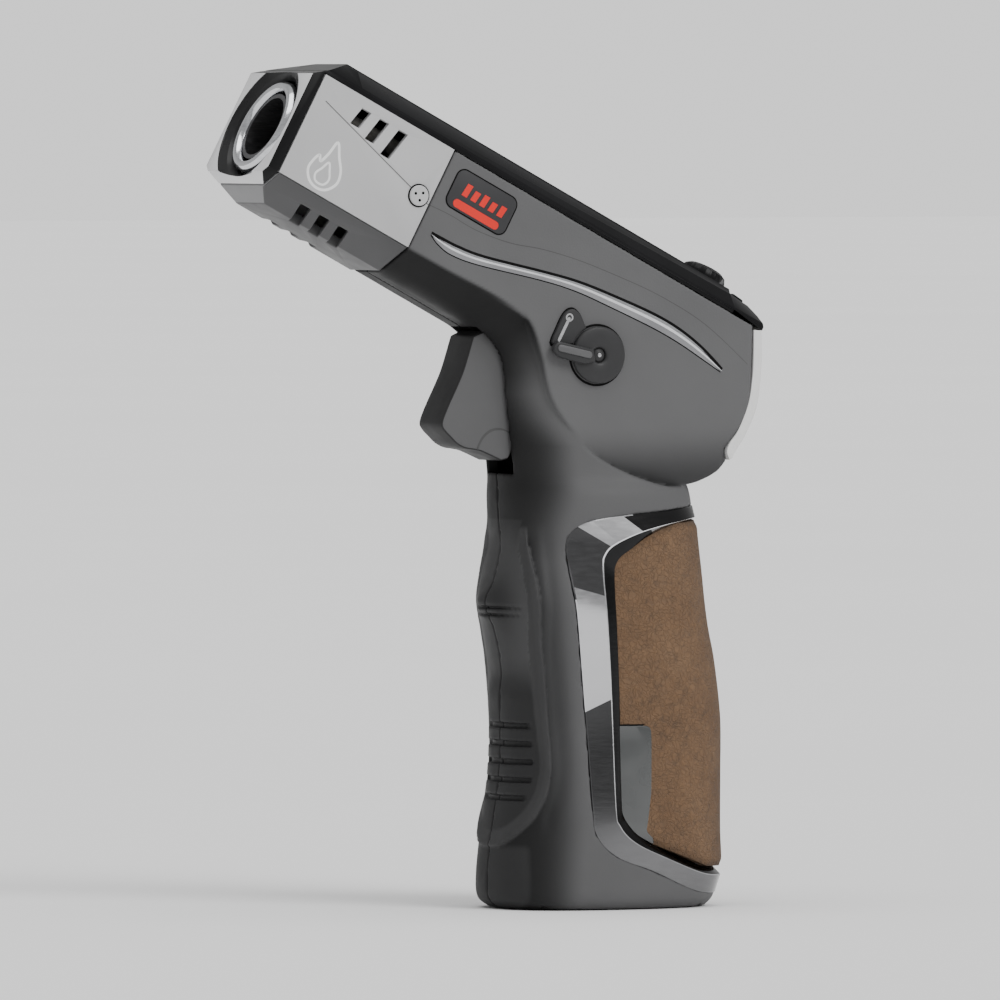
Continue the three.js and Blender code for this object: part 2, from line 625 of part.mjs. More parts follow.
function addBurner() {
  const sparkHole = solid(turnedUp(rodProfile(1.1, 0, 12), 12).translate(9, 0, 0))
  const tube = solid(turned(tubeProfile(BURNER.outer, BURNER.inner, BURNER.start, BURNER.end), 30))
  piece(barrel, 'burner_tube', surface(tube.subtract(sparkHole)), steel)

  const disc = solid(turned(rodProfile(BURNER.inner - 0.25, 15, 17), 24))
  const holes = Array.from({ length: 6 }, (_, i) => {
    const angle = (i * Math.PI) / 3
    return solid(turned(rodProfile(0.9, 14, 18), 10).translate(0, 3.3 * Math.cos(angle),
      3.3 * Math.sin(angle)))
  })
  piece(barrel, 'flame_disc', surface(cut(disc, ...holes, solid(turned(rodProfile(1.2, 14, 18), 10)))), brass)

  const m = MIXER
  const profile = [
    [m.inner, m.start], [6.4, m.start], [6.4, m.start + 2], [m.outer, m.start + 3],
    [m.outer, m.end - GAP], [m.inner, m.end - GAP],
  ]
  const airHole = solid(box([31.5, -8, -1], [34.5, 8, 1]))
  piece(barrel, 'mixing_tube', surface(solid(turned(profile, 24)).subtract(airHole)), brass)
  const j = JET
  const jet = [
    [0, j.start + 1], [0.4, j.start], [j.outer, j.start], [j.outer, j.shoulder], [j.holder, j.shoulder],
    [j.holder, j.end], [0, j.end],
  ]
  piece(barrel, 'jet_nozzle', turned(jet, 18), brass)

  const bracket = solid(box([29.6, -10.6, -8.2], [31.1, 10.6, 6.4]))
  piece(barrel, 'burner_bracket', surface(bracket.subtract(solid(turned(rodProfile(m.outer + 0.3, 20, 40),
    20)))), steel)
}

function addSpark() {
  const s = SPARK
  const insulator = turned(rodProfile(1.5, s.start, s.end), 14).translate(0, 0, s.h)
  const core = solid(turned(rodProfile(0.7, s.start - 1, s.end + 1), 12).translate(0, 0, s.h))
  piece(barrel, 'electrode_insulator', surface(solid(insulator).subtract(core)), ceramic)
  const rod = solid(turned(rodProfile(0.45, s.tip - 0.45, s.end + 2), 10).translate(0, 0, s.h))
  const tip = solid(turnedUp(rodProfile(0.45, 3.4, s.h), 10).translate(s.tip, 0, 0))
  piece(barrel, 'spark_electrode', surface(join(rod, tip)), steel)
}

function addGasTube() {
  const [jetX, jetZ] = barrelPoint(JET.end + GAP, 0)
  const [midX, midZ] = barrelPoint(JET.end + 5, 0)
  const route = [
    [VALVE.x, VALVE.radius + GAP + 0.2, 67], [VALVE.x, VALVE.radius + 2.4, 68], [VALVE.x, 6.6, 76],
    [VALVE.x, 6.8, 86],
    [-10, 6.8, 96], [-17, 5.6, 108], [midX, 1.6, midZ], [jetX, 0, jetZ],
  ]
  piece(torch, 'gas_tube', wire(route, 0.9, 34, 4), rubber)
}

function addIgnitionLead() {
  const [startX, startZ] = barrelPoint(SPARK.end + 2 + GAP, SPARK.h)
  const [aX, aZ] = barrelPoint(44, SPARK.h - 0.6)
  const [bX, bZ] = barrelPoint(62, 3)
  const [cX, cZ] = barrelPoint(82, -5)
  const [backX, backZ] = barrelPoint(PIEZO.end + 3, PIEZO.h + 3)
  const [endX, endZ] = barrelPoint(PIEZO.end + GAP + 0.2, PIEZO.h)
  const route = [
    [startX, 0, startZ], [aX, -2, aZ], [bX, -4, bZ], [cX, -4.5, cZ], [backX, -0.6, backZ], [endX, 0, endZ],
  ]
  piece(torch, 'ignition_lead', wire(route, 0.7, 40, 4), wireRed)
}

// ---- trigger train ------------------------------------------------------------------------

function addTriggerTrain() {
  piece(torch, 'trigger', sideSlab(shapeOf(TRIGGER_OUTLINE), -TRIGGER.half, TRIGGER.half, 0.5), blackPlastic)

  const p = PIEZO
  const casing = box([p.start, -p.half, p.h - p.half], [p.end, p.half, p.h + p.half])
  const guide = box([p.start - 1, -2.9, p.h - 2.9], [p.end - 3, 2.9, p.h + 2.9])
  piece(barrel, 'piezo_casing', surface(solid(casing).subtract(solid(guide))), blackPlastic)
  const rod = [[0, p.plungerStart], [3.6, p.plungerStart], [3.6, p.plungerStart + 1],
    [2.2, p.plungerStart + 1],
    [2.2, p.start + 4], [0, p.start + 4]]
  piece(barrel, 'piezo_plunger', turned(rod, 20).translate(0, 0, p.h), whitePlastic)
}

function addTriggerSpring() {
  const { radius, wire: thick, turns } = TRIGGER_SPRING
  const coil = spring(radius, thick, PIEZO.plungerStart + 1 + GAP, PIEZO.start - GAP, turns)
  piece(barrel, 'trigger_spring', coil.rotateY(Math.PI / 2).translate(0, 0, PIEZO.h), steel)
}

// Bell crank beside the trigger: its long arm is pushed back, and its tab lifts the valve stem.
function addGasLever() {
  const l = LEVER
  const outline = [
    [l.x - 9.6, l.z + 9.6], [l.x - 7.8, l.z + 10.6], [l.x + 1.8, l.z + 1.6], [l.x + 1.2, l.z - 1.8],
    [l.x - 1.6, l.z - 2.4], [l.x - 7.4, l.tabLow], [l.x - 7.6, l.tabLow + 1], [l.x - 3.2, l.z + 1],
  ]
  const plate = solid(sideSlab(shapeOf(outline), -l.y - l.thick, -l.y))
  const tab = solid(box([l.x - 6.8, -l.y - l.thick, l.tabLow], [VALVE.x + 1.6, -1.5, l.tabLow + 0.8]))
  const hole = across(1.1, -12, 0, l.x, l.z)
  piece(torch, 'gas_lever', surface(cut(join(plate, tab), hole)), steel)
  const pin = turnedAcross(rodProfile(0.9, -l.y - l.thick - 0.9, -l.y + 0.9), 14)
  piece(torch, 'lever_pin', pin.translate(l.x, 0, l.z), steel)
}

// ---- fuel ---------------------------------------------------------------------------------

function tankSection(inset) {
  const t = TANK
  const corner = 4
  const [l, r, w] = [t.front + inset, t.back - inset, t.half - inset]
  return [
    [l + corner, -w], [r - corner, -w], [r, -w + corner], [r, w - corner], [r - corner, w], [l + corner, w],
    [l, w - corner], [l, -w + corner],
  ]
}

function upright(points, low, high) {
  return new THREE.ExtrudeGeometry(shapeOf(points), { depth: high - low, bevelEnabled: false }).translate(0,
    0, low)
}

function addTank() {
  const t = TANK
  const wall = 1.4
  const cap = 2.4
  const outer = solid(upright(tankSection(0), t.low, t.high - cap - GAP))
  const inner = solid(upright(tankSection(wall), t.low + wall, t.high))
  const port = solid(turnedUp(rodProfile(REFILL.radius + 0.3, 0, 20), 20).translate(REFILL.x, 0, 0))
  piece(torch, 'fuel_tank', surface(cut(outer, inner, port)), tankClear)

  const lid = solid(upright(tankSection(0), t.high - cap, t.high))
  const seat = solid(turnedUp(rodProfile(1.6, 40, 70), 14).translate(VALVE.x, 0, 0))
  piece(torch, 'tank_cap', surface(lid.subtract(seat)), tankClear)
  const wick = turnedUp(rodProfile(1.3, t.low + 8, t.high - 0.4), 12)
  piece(torch, 'fuel_wick', wick.translate(VALVE.x, 0, 0), felt)
}

function addOutletValve() {
  const v = VALVE
  const bore = solid(turnedUp(rodProfile(1.5, v.low + 3, v.high + 2), 14))
  const body = solid(turnedUp([[0, v.low], [v.radius + 1, v.low], [v.radius + 1, v.low + 1.6],
    [v.radius, v.low + 1.6],
    [v.radius, v.high], [0, v.high]], 20))
  piece(torch, 'outlet_valve', surface(body.subtract(bore).translate([v.x, 0, 0])), brass)
  const collar = LEVER.tabLow + 0.8 + GAP
  const stem = [[0, v.low + 4.5], [1.1, v.low + 4.5], [1.1, collar], [2.2, collar], [2.2, collar + 0.8],
    [0, collar + 0.8]]
  piece(torch, 'valve_stem', turnedUp(stem, 16).translate(v.x, 0, 0), brass)
  const seal = turnedUp(tubeProfile(2.3, 1.3, v.high + 0.3, v.high + 0.9), 18)
  piece(torch, 'valve_seal', seal.translate(v.x, 0, 0), rubber)
}

function addRefillValve() {
  const r = REFILL_BODY
  const bore = solid(turnedUp(rodProfile(r.stem + 0.6, -1, r.top - 1), 14))
  const body = solid(turnedUp(rodProfile(REFILL.radius, r.bottom, r.top), 20))
  piece(torch, 'refill_valve', surface(body.subtract(bore).translate([REFILL.x, 0, 0])), brass)
  const stem = [[0, 0.5], [r.stem, 0.5], [r.stem, 5], [r.stem + 0.3, 5], [r.stem + 0.3, 6], [0, 6]]
  piece(torch, 'refill_stem', turnedUp(stem, 14).translate(REFILL.x, 0, 0), brass)
  const coil = spring(0.95, 0.22, 6 + GAP, r.top - 1 - GAP, 6)
  piece(torch, 'refill_spring', coil.translate(REFILL.x, 0, 0), steel)
}

function addBaseCover() {
  const section = [0, 2.4].map((z) => superellipse(-18, 20, 13.2, z, GRIP_SIDES))
  const shell = solid(box([-14.6, -10.6, -1], [16.6, 10.6, 3]))
  const plate = solid(loft(section)).intersect(shell)
  const hole = solid(turnedUp(rodProfile(REFILL.radius + 1, -1, 4), 24).translate(REFILL.x, 0, 0))
  const screwSeat = turnedUp([[0, -1], [2, -1], [2, 1.4], [1.1, 1.4], [1.1, 4], [0, 4]], 14)
  const seat = solid(screwSeat.translate(BASE_SCREW.x, 0, 0))
  piece(torch, 'base_cover', surface(cut(plate, hole, seat)), blackPlastic)
}

// ---- lock dial, flame knob and screws -----------------------------------------------------

function addLockDial() {
  const d = DIAL
  const disc = solid(turnedAcross(rodProfile(d.radius, -d.face, -d.back), 32).translate(d.x, 0, d.z))
  const arm = [[0, 2], [-8.4, 2.2], [-9.6, 1.4], [-9.6, 0], [-8.6, -0.9], [0, -1.8]]
  const lever = solid(sideSlab(shapeOf(arm.map(([x, z]) => [d.x + x, d.z + z])), -d.face - 0.9, -d.back))
  const hole = solid(turnedAcross(rodProfile(1.35, -30, 0), 16).translate(d.x, 0, d.z))
  piece(torch, 'lock_dial', surface(join(disc, lever).subtract(hole)), blackPlastic)
  const pin = turnedAcross(rodProfile(1.25, -d.face + 0.3, -7), 16)
  piece(torch, 'lock_pin', pin.translate(d.x, 0, d.z), steel)
}

function addFlameKnob() {
  const k = KNOB
  const teeth = 18
  const outline = Array.from({ length: teeth * 2 }, (_, i) => {
    const angle = (i / (teeth * 2)) * 2 * Math.PI
    const radius = k.radius - (i % 2) * 0.35
    return [radius * Math.cos(angle), radius * Math.sin(angle)]
  })
  const cap = solid(upright(outline, k.low, k.high))
  const shaft = solid(turnedUp(rodProfile(1.6, 4, k.low + 1), 16))
  piece(barrel, 'flame_knob', surface(join(cap, shaft).translate([k.u, 0, 0])), blackPlastic)
  const foot = RAIL_STEP.high + GAP
  const stop = [[96.4, foot], [96.4, foot + 1], [97, foot + 1.3], [98.6, foot + 0.9], [98.8, foot]]
  piece(barrel, 'knob_stop', sideSlab(shapeOf(stop), -4.5, 4.5, 0.25), glossBlack)
}

function addScrews() {
  for (const { name, x, z } of BOSSES) {
    const profile = [[0, -8], [0.9, -8], [0.9, 10.3], [1.8, 10.3], [1.5, 11.1], [0, 11.1]]
    piece(torch, name, turnedAcross(profile, 14).translate(x, 0, z), steel)
  }
  const profile = [[0, 0.3], [1.7, 0.3], [1.7, 1.1], [0.9, 1.1], [0.9, 6], [0, 6]]
  piece(torch, 'base_screw', turnedUp(profile, 14).translate(BASE_SCREW.x, 0, 0), steel)
}

addShells()
addSideCovers()
addRearTrim()
addTopCover()
addHeatPanels()
addShroud()
addNose()
addBurner()
addSpark()
addGasTube()
addIgnitionLead()
addTriggerTrain()
addTriggerSpring()
addGasLever()
addTank()
addOutletValve()
addRefillValve()
addBaseCover()
addLockDial()
addFlameKnob()
addScrews()

export default torch
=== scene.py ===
"""Looks of the handheld butane torch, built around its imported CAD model."""
import itertools
import json
import math
from types import SimpleNamespace

import bmesh
import bpy
import numpy as np
from mathutils import Matrix, Vector


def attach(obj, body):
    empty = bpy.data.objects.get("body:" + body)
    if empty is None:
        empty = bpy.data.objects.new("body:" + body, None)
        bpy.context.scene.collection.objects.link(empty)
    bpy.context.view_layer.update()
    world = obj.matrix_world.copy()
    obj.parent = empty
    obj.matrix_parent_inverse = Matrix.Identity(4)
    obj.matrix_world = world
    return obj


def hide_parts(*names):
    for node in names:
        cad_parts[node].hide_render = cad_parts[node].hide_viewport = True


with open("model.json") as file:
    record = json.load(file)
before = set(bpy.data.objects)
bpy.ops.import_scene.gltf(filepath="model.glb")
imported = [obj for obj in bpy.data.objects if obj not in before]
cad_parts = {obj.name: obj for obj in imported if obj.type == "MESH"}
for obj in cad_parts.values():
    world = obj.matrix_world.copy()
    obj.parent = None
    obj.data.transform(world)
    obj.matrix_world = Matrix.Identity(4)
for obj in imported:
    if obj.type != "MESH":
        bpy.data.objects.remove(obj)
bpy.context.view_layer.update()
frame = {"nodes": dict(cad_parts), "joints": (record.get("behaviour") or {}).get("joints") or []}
MM = 0.001

# ---- places taken from the frame ---------------------------------------------------------------

JOINTS = {joint["name"]: joint for joint in frame["joints"]}
BACK = Vector(JOINTS["trigger_slide"]["axis"]).normalized()  # backwards along the barrel
RISE = Vector((-BACK.z, 0, BACK.x))  # square to the barrel, upwards
KNOB_AT = Vector(JOINTS["flame_knob_turn"]["pos_m"]) / MM
DIAL_AT = Vector(JOINTS["lock_dial_turn"]["pos_m"]) / MM
KNOB_U = 91.6
MUZZLE = KNOB_AT - BACK * KNOB_U  # centre of the muzzle ring, millimetres

# Lengths along the barrel start at the muzzle ring, and heights are counted from the barrel's axis.
HEAD = SimpleNamespace(half=13.0, side_top=11.1, side_low=-8.7, top=16.1, top_half=7.0, bottom=-13.5,
                       bottom_half=6.0, panel_start=2.4, panel_end=31.2, rear=101.0)
NOSE = SimpleNamespace(front_top=10.0, top_end=8.0, front_low=-9.7, low_end=5.5, recess=12.2)
RAIL_STEP = SimpleNamespace(start=94.2, high=14.9, low=13.4)
FACE = HEAD.half  # half width at the side covers and heat panels
WALL = 2.2  # thickness of the shells
PARTING_GAP = 0.06  # from the middle plane to each shell
NET_PITCH = 0.42  # grid that the shells' surface is made on

# Grip sections: height, front, back and half width.
GRIP = np.array([
    (0, -18.6, 20.8, 14.0), (1.8, -20.6, 22.2, 15.8), (6, -20.9, 23.2, 16.0), (14, -20.0, 22.9, 16.0),
    (24, -18.6, 22.9, 15.9), (34, -18.3, 22.9, 15.7), (44, -19.0, 21.7, 15.6), (50, -20.2, 20.5, 15.5),
    (55, -21.5, 19.8, 15.4), (60, -20.1, 19.2, 15.3), (66, -18.6, 18.4, 15.2), (74, -18.8, 17.6, 14.7),
    (78, -19.0, 16.2, 13.2), (84, -19.6, 13.0, 13.0), (94, -20.6, 9.0, 13.2), (104, -21.4, 4.0, 12.0)])
ROUNDNESS = 2.5


def on_barrel(u, h):
    """X and Z of a point given along and across the barrel."""
    point = MUZZLE + BACK * u + RISE * h
    return point.x, point.z


def barrel_matrix():
    """From u, y, h in millimetres to metres in the frame."""
    columns = [BACK, Vector((0, 1, 0)), RISE]
    turn = Matrix([[c[i] for c in columns] for i in range(3)]).to_4x4()
    return Matrix.Translation(MUZZLE * MM) @ turn @ Matrix.Scale(MM, 4)


BARREL = barrel_matrix()
PLAIN = Matrix.Scale(MM, 4)

# ---- mesh helpers ------------------------------------------------------------------------------


def link(name, mesh):
    obj = bpy.data.objects.new(name, mesh)
    bpy.context.scene.collection.objects.link(obj)
    return obj


def build(name, verts, faces, matrix=PLAIN, smooth_angle=40):
    mesh = bpy.data.meshes.new(name)
    mesh.from_pydata([tuple(v) for v in verts], [], [tuple(f) for f in faces])
    mesh.transform(matrix)
    mesh.validate()
    obj = link(name, mesh)
    shade(obj, smooth_angle)
    return obj


def shade(obj, angle=40):
    obj.data.shade_smooth()
    obj.data.set_sharp_from_angle(angle=math.radians(angle))


def settle(obj):
    """Applies the object's modifiers to its mesh."""
    graph = bpy.context.evaluated_depsgraph_get()
    mesh = bpy.data.meshes.new_from_object(obj.evaluated_get(graph))
    old = obj.data
    obj.modifiers.clear()
    obj.data = mesh
    mesh.name = obj.name
    bpy.data.meshes.remove(old)


def rounded(obj, width, segments=2, angle=30, smooth_angle=40):
    """Bevels the sharp edges; width in millimetres."""
    bevel = obj.modifiers.new("round", "BEVEL")
    bevel.width = width * MM
    bevel.segments = segments
    bevel.limit_method = "ANGLE"
    bevel.angle_limit = math.radians(angle)
    bevel.miter_outer = "MITER_ARC"
    settle(obj)
    shade(obj, smooth_angle)


def combine(obj, operation, others):
    for other in others:
        boolean = obj.modifiers.new("combine", "BOOLEAN")
        boolean.operation = operation
        boolean.solver = "EXACT"
        boolean.object = other
        settle(obj)
        bpy.data.objects.remove(other)


def cut(obj, *cutters):
    combine(obj, "DIFFERENCE", cutters)


def merge(obj, *others):
    combine(obj, "UNION", others)


def curve_through(points, per_span=6, closed=False):
    """Catmull-Rom points through a list of 2-D or 3-D points."""
    p = np.array(points, float)
    n = len(p)
    spans = n if closed else n - 1
    out = []
    for i in range(spans):
        if closed:
            a, b, c, d = (p[(i + k) % n] for k in (-1, 0, 1, 2))
        else:
            a, b, c, d = p[max(i - 1, 0)], p[i], p[i + 1], p[min(i + 2, n - 1)]
        for t in np.arange(per_span) / per_span:
            out.append(0.5 * (2 * b + (c - a) * t + (2 * a - 5 * b + 4 * c - d) * t * t
                              + (3 * b - a - 3 * c + d) * t ** 3))
    if not closed:
        out.append(p[-1])
    return np.array(out)


def prism(name, outline, low, high, place, matrix=PLAIN):
    """Closed prism of a 2-D outline between two levels; place turns (a, b, level) into a point."""
    n = len(outline)
    verts = [place(a, b, low) for a, b in outline] + [place(a, b, high) for a, b in outline]
    faces = [list(range(n))[::-1], list(range(n, 2 * n))]
    faces += [(i, (i + 1) % n, n + (i + 1) % n, n + i) for i in range(n)]
    obj = build(name, verts, faces, matrix)
    fix_normals(obj)
    return obj


def fix_normals(obj):
    work = bmesh.new()
    work.from_mesh(obj.data)
    bmesh.ops.recalc_face_normals(work, faces=work.faces)
    work.to_mesh(obj.data)
    work.free()


def mirrored(points):
    """The same points across the middle plane, in reverse order."""
    return [(-y, h) for y, h in reversed(points)]


def side_prism(name, outline, low, high, matrix=PLAIN):
    """A side-view outline in X and Z (or u and h), from y = low to y = high."""
    return prism(name, outline, low, high, lambda a, b, y: (a, y, b), matrix)


def barrel_prism(name, outline, start, end):
    """An outline in y and h, run along the barrel."""
    return prism(name, outline, start, end, lambda y, h, u: (u, y, h), BARREL)


AXES = {"u": lambda r, a, s: (s, r * math.cos(a), r * math.sin(a)),
        "y": lambda r, a, s: (r * math.cos(a), s, r * math.sin(a)),
        "z": lambda r, a, s: (r * math.cos(a), r * math.sin(a), s)}


def lathe(name, profile, axis="u", centre=(0, 0, 0), sides=72, matrix=PLAIN, closed=False):
    """Turned piece from (radius, along) pairs; closed joins the last pair to the first."""
    place = AXES[axis]
    verts, rings = [], []
    for radius, along in profile:
        if radius < 1e-6:
            rings.append([len(verts)])
            verts.append(place(0, 0, along))
        else:
            rings.append(list(range(len(verts), len(verts) + sides)))
            verts += [place(radius, 2 * math.pi * i / sides, along) for i in range(sides)]
    faces = []
    pairs = list(zip(rings, rings[1:])) + ([(rings[-1], rings[0])] if closed else [])
    for one, two in pairs:
        for i in range(sides):
            j = (i + 1) % sides
            if len(one) > 1 and len(two) > 1:
                faces.append((one[i], one[j], two[j], two[i]))
            elif len(two) > 1:
                faces.append((one[0], two[j], two[i]))
            elif len(one) > 1:
                faces.append((one[i], one[j], two[0]))
    verts = [tuple(v[k] + centre[k] for k in range(3)) for v in verts]
    obj = build(name, verts, faces, matrix, 30)
    fix_normals(obj)
    return obj


def swept(name, one, two, profile, place, per_span=6, smooth_angle=30, matrix=PLAIN):
    """A band between two matching curves; the profile is a closed loop of (share across, lift)."""
    first, second = curve_through(one, per_span), curve_through(two, per_span)
    verts = [place(a * (1 - t) + b * t, lift) for a, b in zip(first, second) for t, lift in profile]
    n, rings = len(profile), len(first)
    faces = [(r * n + i, r * n + (i + 1) % n, (r + 1) * n + (i + 1) % n, (r + 1) * n + i)
             for r in range(rings - 1) for i in range(n)]
    faces += [list(range(n)), list(range((rings - 1) * n, rings * n))]
    obj = build(name, verts, faces, matrix, smooth_angle)
    fix_normals(obj)
    return obj


def pill_outline(one, two, radius, count=10):
    """A slot with round ends between two centres."""
    angle = math.atan2(two[1] - one[1], two[0] - one[0])
    points = []
    for (x, z), start in ((two, -90), (one, 90)):
        turns = np.radians(np.linspace(start, start + 180, count)) + angle
        points += [(x + radius * math.cos(a), z + radius * math.sin(a)) for a in turns]
    return points


def set_painted_light(obj, light_and_shade, domain="POINT"):
    """Stores painted light and shade as the share of the material's full tone, which its nodes read."""
    layer = obj.data.attributes.new("tone", "FLOAT", domain)
    layer.data.foreach_set("value", np.asarray(light_and_shade, np.float32))


def refined(node, name, width, segments=2, angle=25, smooth_angle=35):
    """A finer copy of a CAD node: its flat faces joined, and its edges rounded."""
    mesh = frame["nodes"][node].data.copy()
    obj = link(name, mesh)
    work = bmesh.new()
    work.from_mesh(mesh)
    bmesh.ops.remove_doubles(work, verts=work.verts, dist=1e-6)
    bmesh.ops.dissolve_limit(work, angle_limit=math.radians(1.5), verts=work.verts, edges=work.edges)
    work.to_mesh(mesh)
    work.free()
    mesh.materials.clear()
    rounded(obj, width, segments, angle, smooth_angle)
    return obj


def finish_piece(obj, material, slot, *nodes, body="housing"):
    """Gives a piece its material, its body, and the CAD nodes that it replaces; the slot argument is not
    used.
    """
    obj.data.materials.clear()
    obj.data.materials.append(MAT[material])
    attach(obj, body)
    if nodes:
        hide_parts(*nodes)
    return obj


# ---- implicit surfaces -------------------------------------------------------------------------


def smooth_max(a, b, radius):
    mix = np.clip(0.5 + 0.5 * (a - b) / radius, 0, 1)
    return b + (a - b) * mix + radius * mix * (1 - mix)


def smooth_min(a, b, radius):
    return -smooth_max(-a, -b, radius)


def step_between(low, high, value):
    t = np.clip((value - low) / (high - low), 0, 1)
    return t * t * (3 - 2 * t)


class Outline:
    """Signed distance in the side view to a closed outline, negative inside, from a fine table."""

    def __init__(self, points, pitch=0.3, margin=14):
        points = np.array(points, float)
        self.low = points.min(0) - margin
        count = np.ceil((points.max(0) + margin - self.low) / pitch).astype(int) + 1
        self.pitch = pitch
        xs = self.low[0] + np.arange(count[0]) * pitch
        zs = self.low[1] + np.arange(count[1]) * pitch
        x, z = np.meshgrid(xs, zs, indexing="ij")
        near = np.full(x.shape, 1e9)
        inside = np.zeros(x.shape, bool)
        for (ax, az), (bx, bz) in zip(points, np.roll(points, -1, 0)):
            ex, ez = bx - ax, bz - az
            t = np.clip(((x - ax) * ex + (z - az) * ez) / (ex * ex + ez * ez + 1e-12), 0, 1)
            near = np.minimum(near, (x - ax - t * ex) ** 2 + (z - az - t * ez) ** 2)
            crosses = (az > z) != (bz > z)
            at = ax + (z - az) * ex / np.where(abs(ez) < 1e-12, 1e-12, ez)
            inside ^= crosses & (x < at)
        self.table = np.sqrt(near) * np.where(inside, -1, 1)

    def __call__(self, x, z):
        shape = self.table.shape
        i = np.clip((x - self.low[0]) / self.pitch, 0, shape[0] - 1.001)
        k = np.clip((z - self.low[1]) / self.pitch, 0, shape[1] - 1.001)
        i0, k0 = i.astype(int), k.astype(int)
        di, dk = i - i0, k - k0
        t = self.table
        return ((t[i0, k0] * (1 - di) + t[i0 + 1, k0] * di) * (1 - dk)
                + (t[i0, k0 + 1] * (1 - di) + t[i0 + 1, k0 + 1] * di) * dk)


def sample_grid(field, low, high, pitch):
    """Field values on a grid, kept positive on its outer faces so that the surface closes."""
    axes = [a + np.arange(int(math.ceil((b - a) / pitch)) + 1) * pitch for a, b in zip(low, high)]
    values = np.empty([len(axis) for axis in axes], np.float32)
    slab = 24
    for start in range(0, len(axes[0]), slab):
        x, y, z = np.meshgrid(axes[0][start:start + slab], axes[1], axes[2], indexing="ij")
        values[start:start + slab] = field(x, y, z)
    for axis in range(3):
        edge = [slice(None)] * 3
        for end in (0, -1):
            edge[axis] = end
            values[tuple(edge)] = np.maximum(values[tuple(edge)], pitch * 0.5)
    return values


def cell_points(values):
    """One point in each grid cell that the surface crosses, and a table of the points' numbers."""
    cells = tuple(count - 1 for count in values.shape)
    total = np.zeros(cells + (3,), np.float32)
    hits = np.zeros(cells, np.float32)

    def corner(offset):
        return values[tuple(slice(o, o + count) for o, count in zip(offset, cells))]

    for one, axis in itertools.product(itertools.product((0, 1), repeat=3), range(3)):
        if one[axis]:
            continue
        a, b = corner(one), corner(tuple(o + (k == axis) for k, o in enumerate(one)))
        crossing = (a < 0) != (b < 0)
        t = np.where(crossing, a / np.where(crossing, a - b, 1), 0)
        for k in range(3):
            total[..., k] += np.where(crossing, one[k] + (t if k == axis else 0), 0)
        hits += crossing
    active = hits > 0
    number = np.full(cells, -1, np.int64)
    number[active] = np.arange(active.sum())
    return np.argwhere(active) + total[active] / hits[active][:, None], number


def settle_on(field, points, pitch):
    """Moves points onto the zero level in a few small steps along the field's slope."""
    home = points.copy()
    for _ in range(4):
        slope = np.stack([(field(*(points + d).T) - field(*(points - d).T)) / 0.1
                          for d in np.eye(3) * 0.05], 1)
        move = (field(*points.T) / np.maximum((slope ** 2).sum(1), 0.05))[:, None] * slope
        points = points - np.clip(move, -pitch * 0.4, pitch * 0.4)
        points = np.clip(points, home - pitch * 0.7, home + pitch * 0.7)
    return points


def net_faces(inside, number):
    """A quad round every grid edge that the surface crosses."""
    faces = []
    for axis in range(3):
        a = inside[tuple(slice(0, -1) if k == axis else slice(1, -1) for k in range(3))]
        b = inside[tuple(slice(1, None) if k == axis else slice(1, -1) for k in range(3))]
        first, second = [k for k in range(3) if k != axis]
        for flip, mask in ((False, a & ~b), (True, ~a & b)):
            spot = np.argwhere(mask)
            spot[:, [first, second]] += 1
            quad = []
            for da, db in ((0, 0), (1, 0), (1, 1), (0, 1)):
                at = spot.copy()
                at[:, first] -= da
                at[:, second] -= db
                quad.append(number[at[:, 0], at[:, 1], at[:, 2]])
            quad = np.stack(quad, 1)
            faces.append(quad[:, ::-1] if flip != (axis == 1) else quad)
    return np.concatenate(faces)


def surface_net(field, low, high, pitch):
    """Closed quad mesh on the zero level of field(x, y, z)."""
    values = sample_grid(field, low, high, pitch)
    points, number = cell_points(values)
    points = settle_on(field, points * pitch + np.array(low), pitch)
    return points, net_faces(values < 0, number)


# ---- the body's shape --------------------------------------------------------------------------

LOBE = [
    on_barrel(HEAD.panel_end + 0.3, HEAD.side_top - 0.1),
    on_barrel(HEAD.panel_end + 0.3, HEAD.side_low),
    (-34.5, 114.8), (-24.3, 109.8), (-18.6, 105.7), (-16.0, 99.0), (-14.6, 92.8), (-12.0, 88.2),
    (-7.4, 83.2),
    (-1.8, 79.5), (4.9, 76.9), (10.0, 75.8), (15.4, 76.3), (19.6, 78.2), (21.4, 80.4), (20.7, 82.4),
    (23.1, 85.5), (25.2, 89.6), (25.9, 95.0), (26.2, 103.4)]
TRIGGER_SLOT = [(-26.8, 104.6), (-44, 96), (-44, 78.6), (-21, 78.6), (-13, 77.4), (-4.4, 94.3), (-10.2, 98),
                (-23.4, 105)]
FRAME_OUTER = [(24, 73), (12.4, 71.9), (0.8, 70.9), (-7.6, 69.7), (-11.2, 67), (-11.4, 62.6), (-9.8, 51.8),
               (-8.2, 33.8), (-7.2, 18.5), (-6.4, 13.2), (-2.6, 9.4), (4.4, 6.8), (14.4, 2.9), (24, 2.2)]


def lobe_outline():
    """The covers' outline, carried on above the head's upper edge, where the top cover cuts it off."""
    corner = [on_barrel(HEAD.panel_end - 3, HEAD.side_top + 4),
              on_barrel(HEAD.panel_end - 3, HEAD.side_low)]
    front = curve_through(LOBE[1:6], 5)[1:]
    round_part = curve_through(LOBE[5:15], 6)[1:]
    rear = np.vstack([curve_through(LOBE[15:], 5), [(26.3, 112)]])
    return np.concatenate([corner, front, round_part, rear])


lobe_distance = Outline(lobe_outline())
slot_distance = Outline(TRIGGER_SLOT)
frame_distance = Outline(FRAME_OUTER)


STATIONS = curve_through(GRIP, 12)


def station(z):
    heights = STATIONS[:, 0]
    return [np.interp(z, heights, STATIONS[:, k]) for k in (1, 2, 3)]


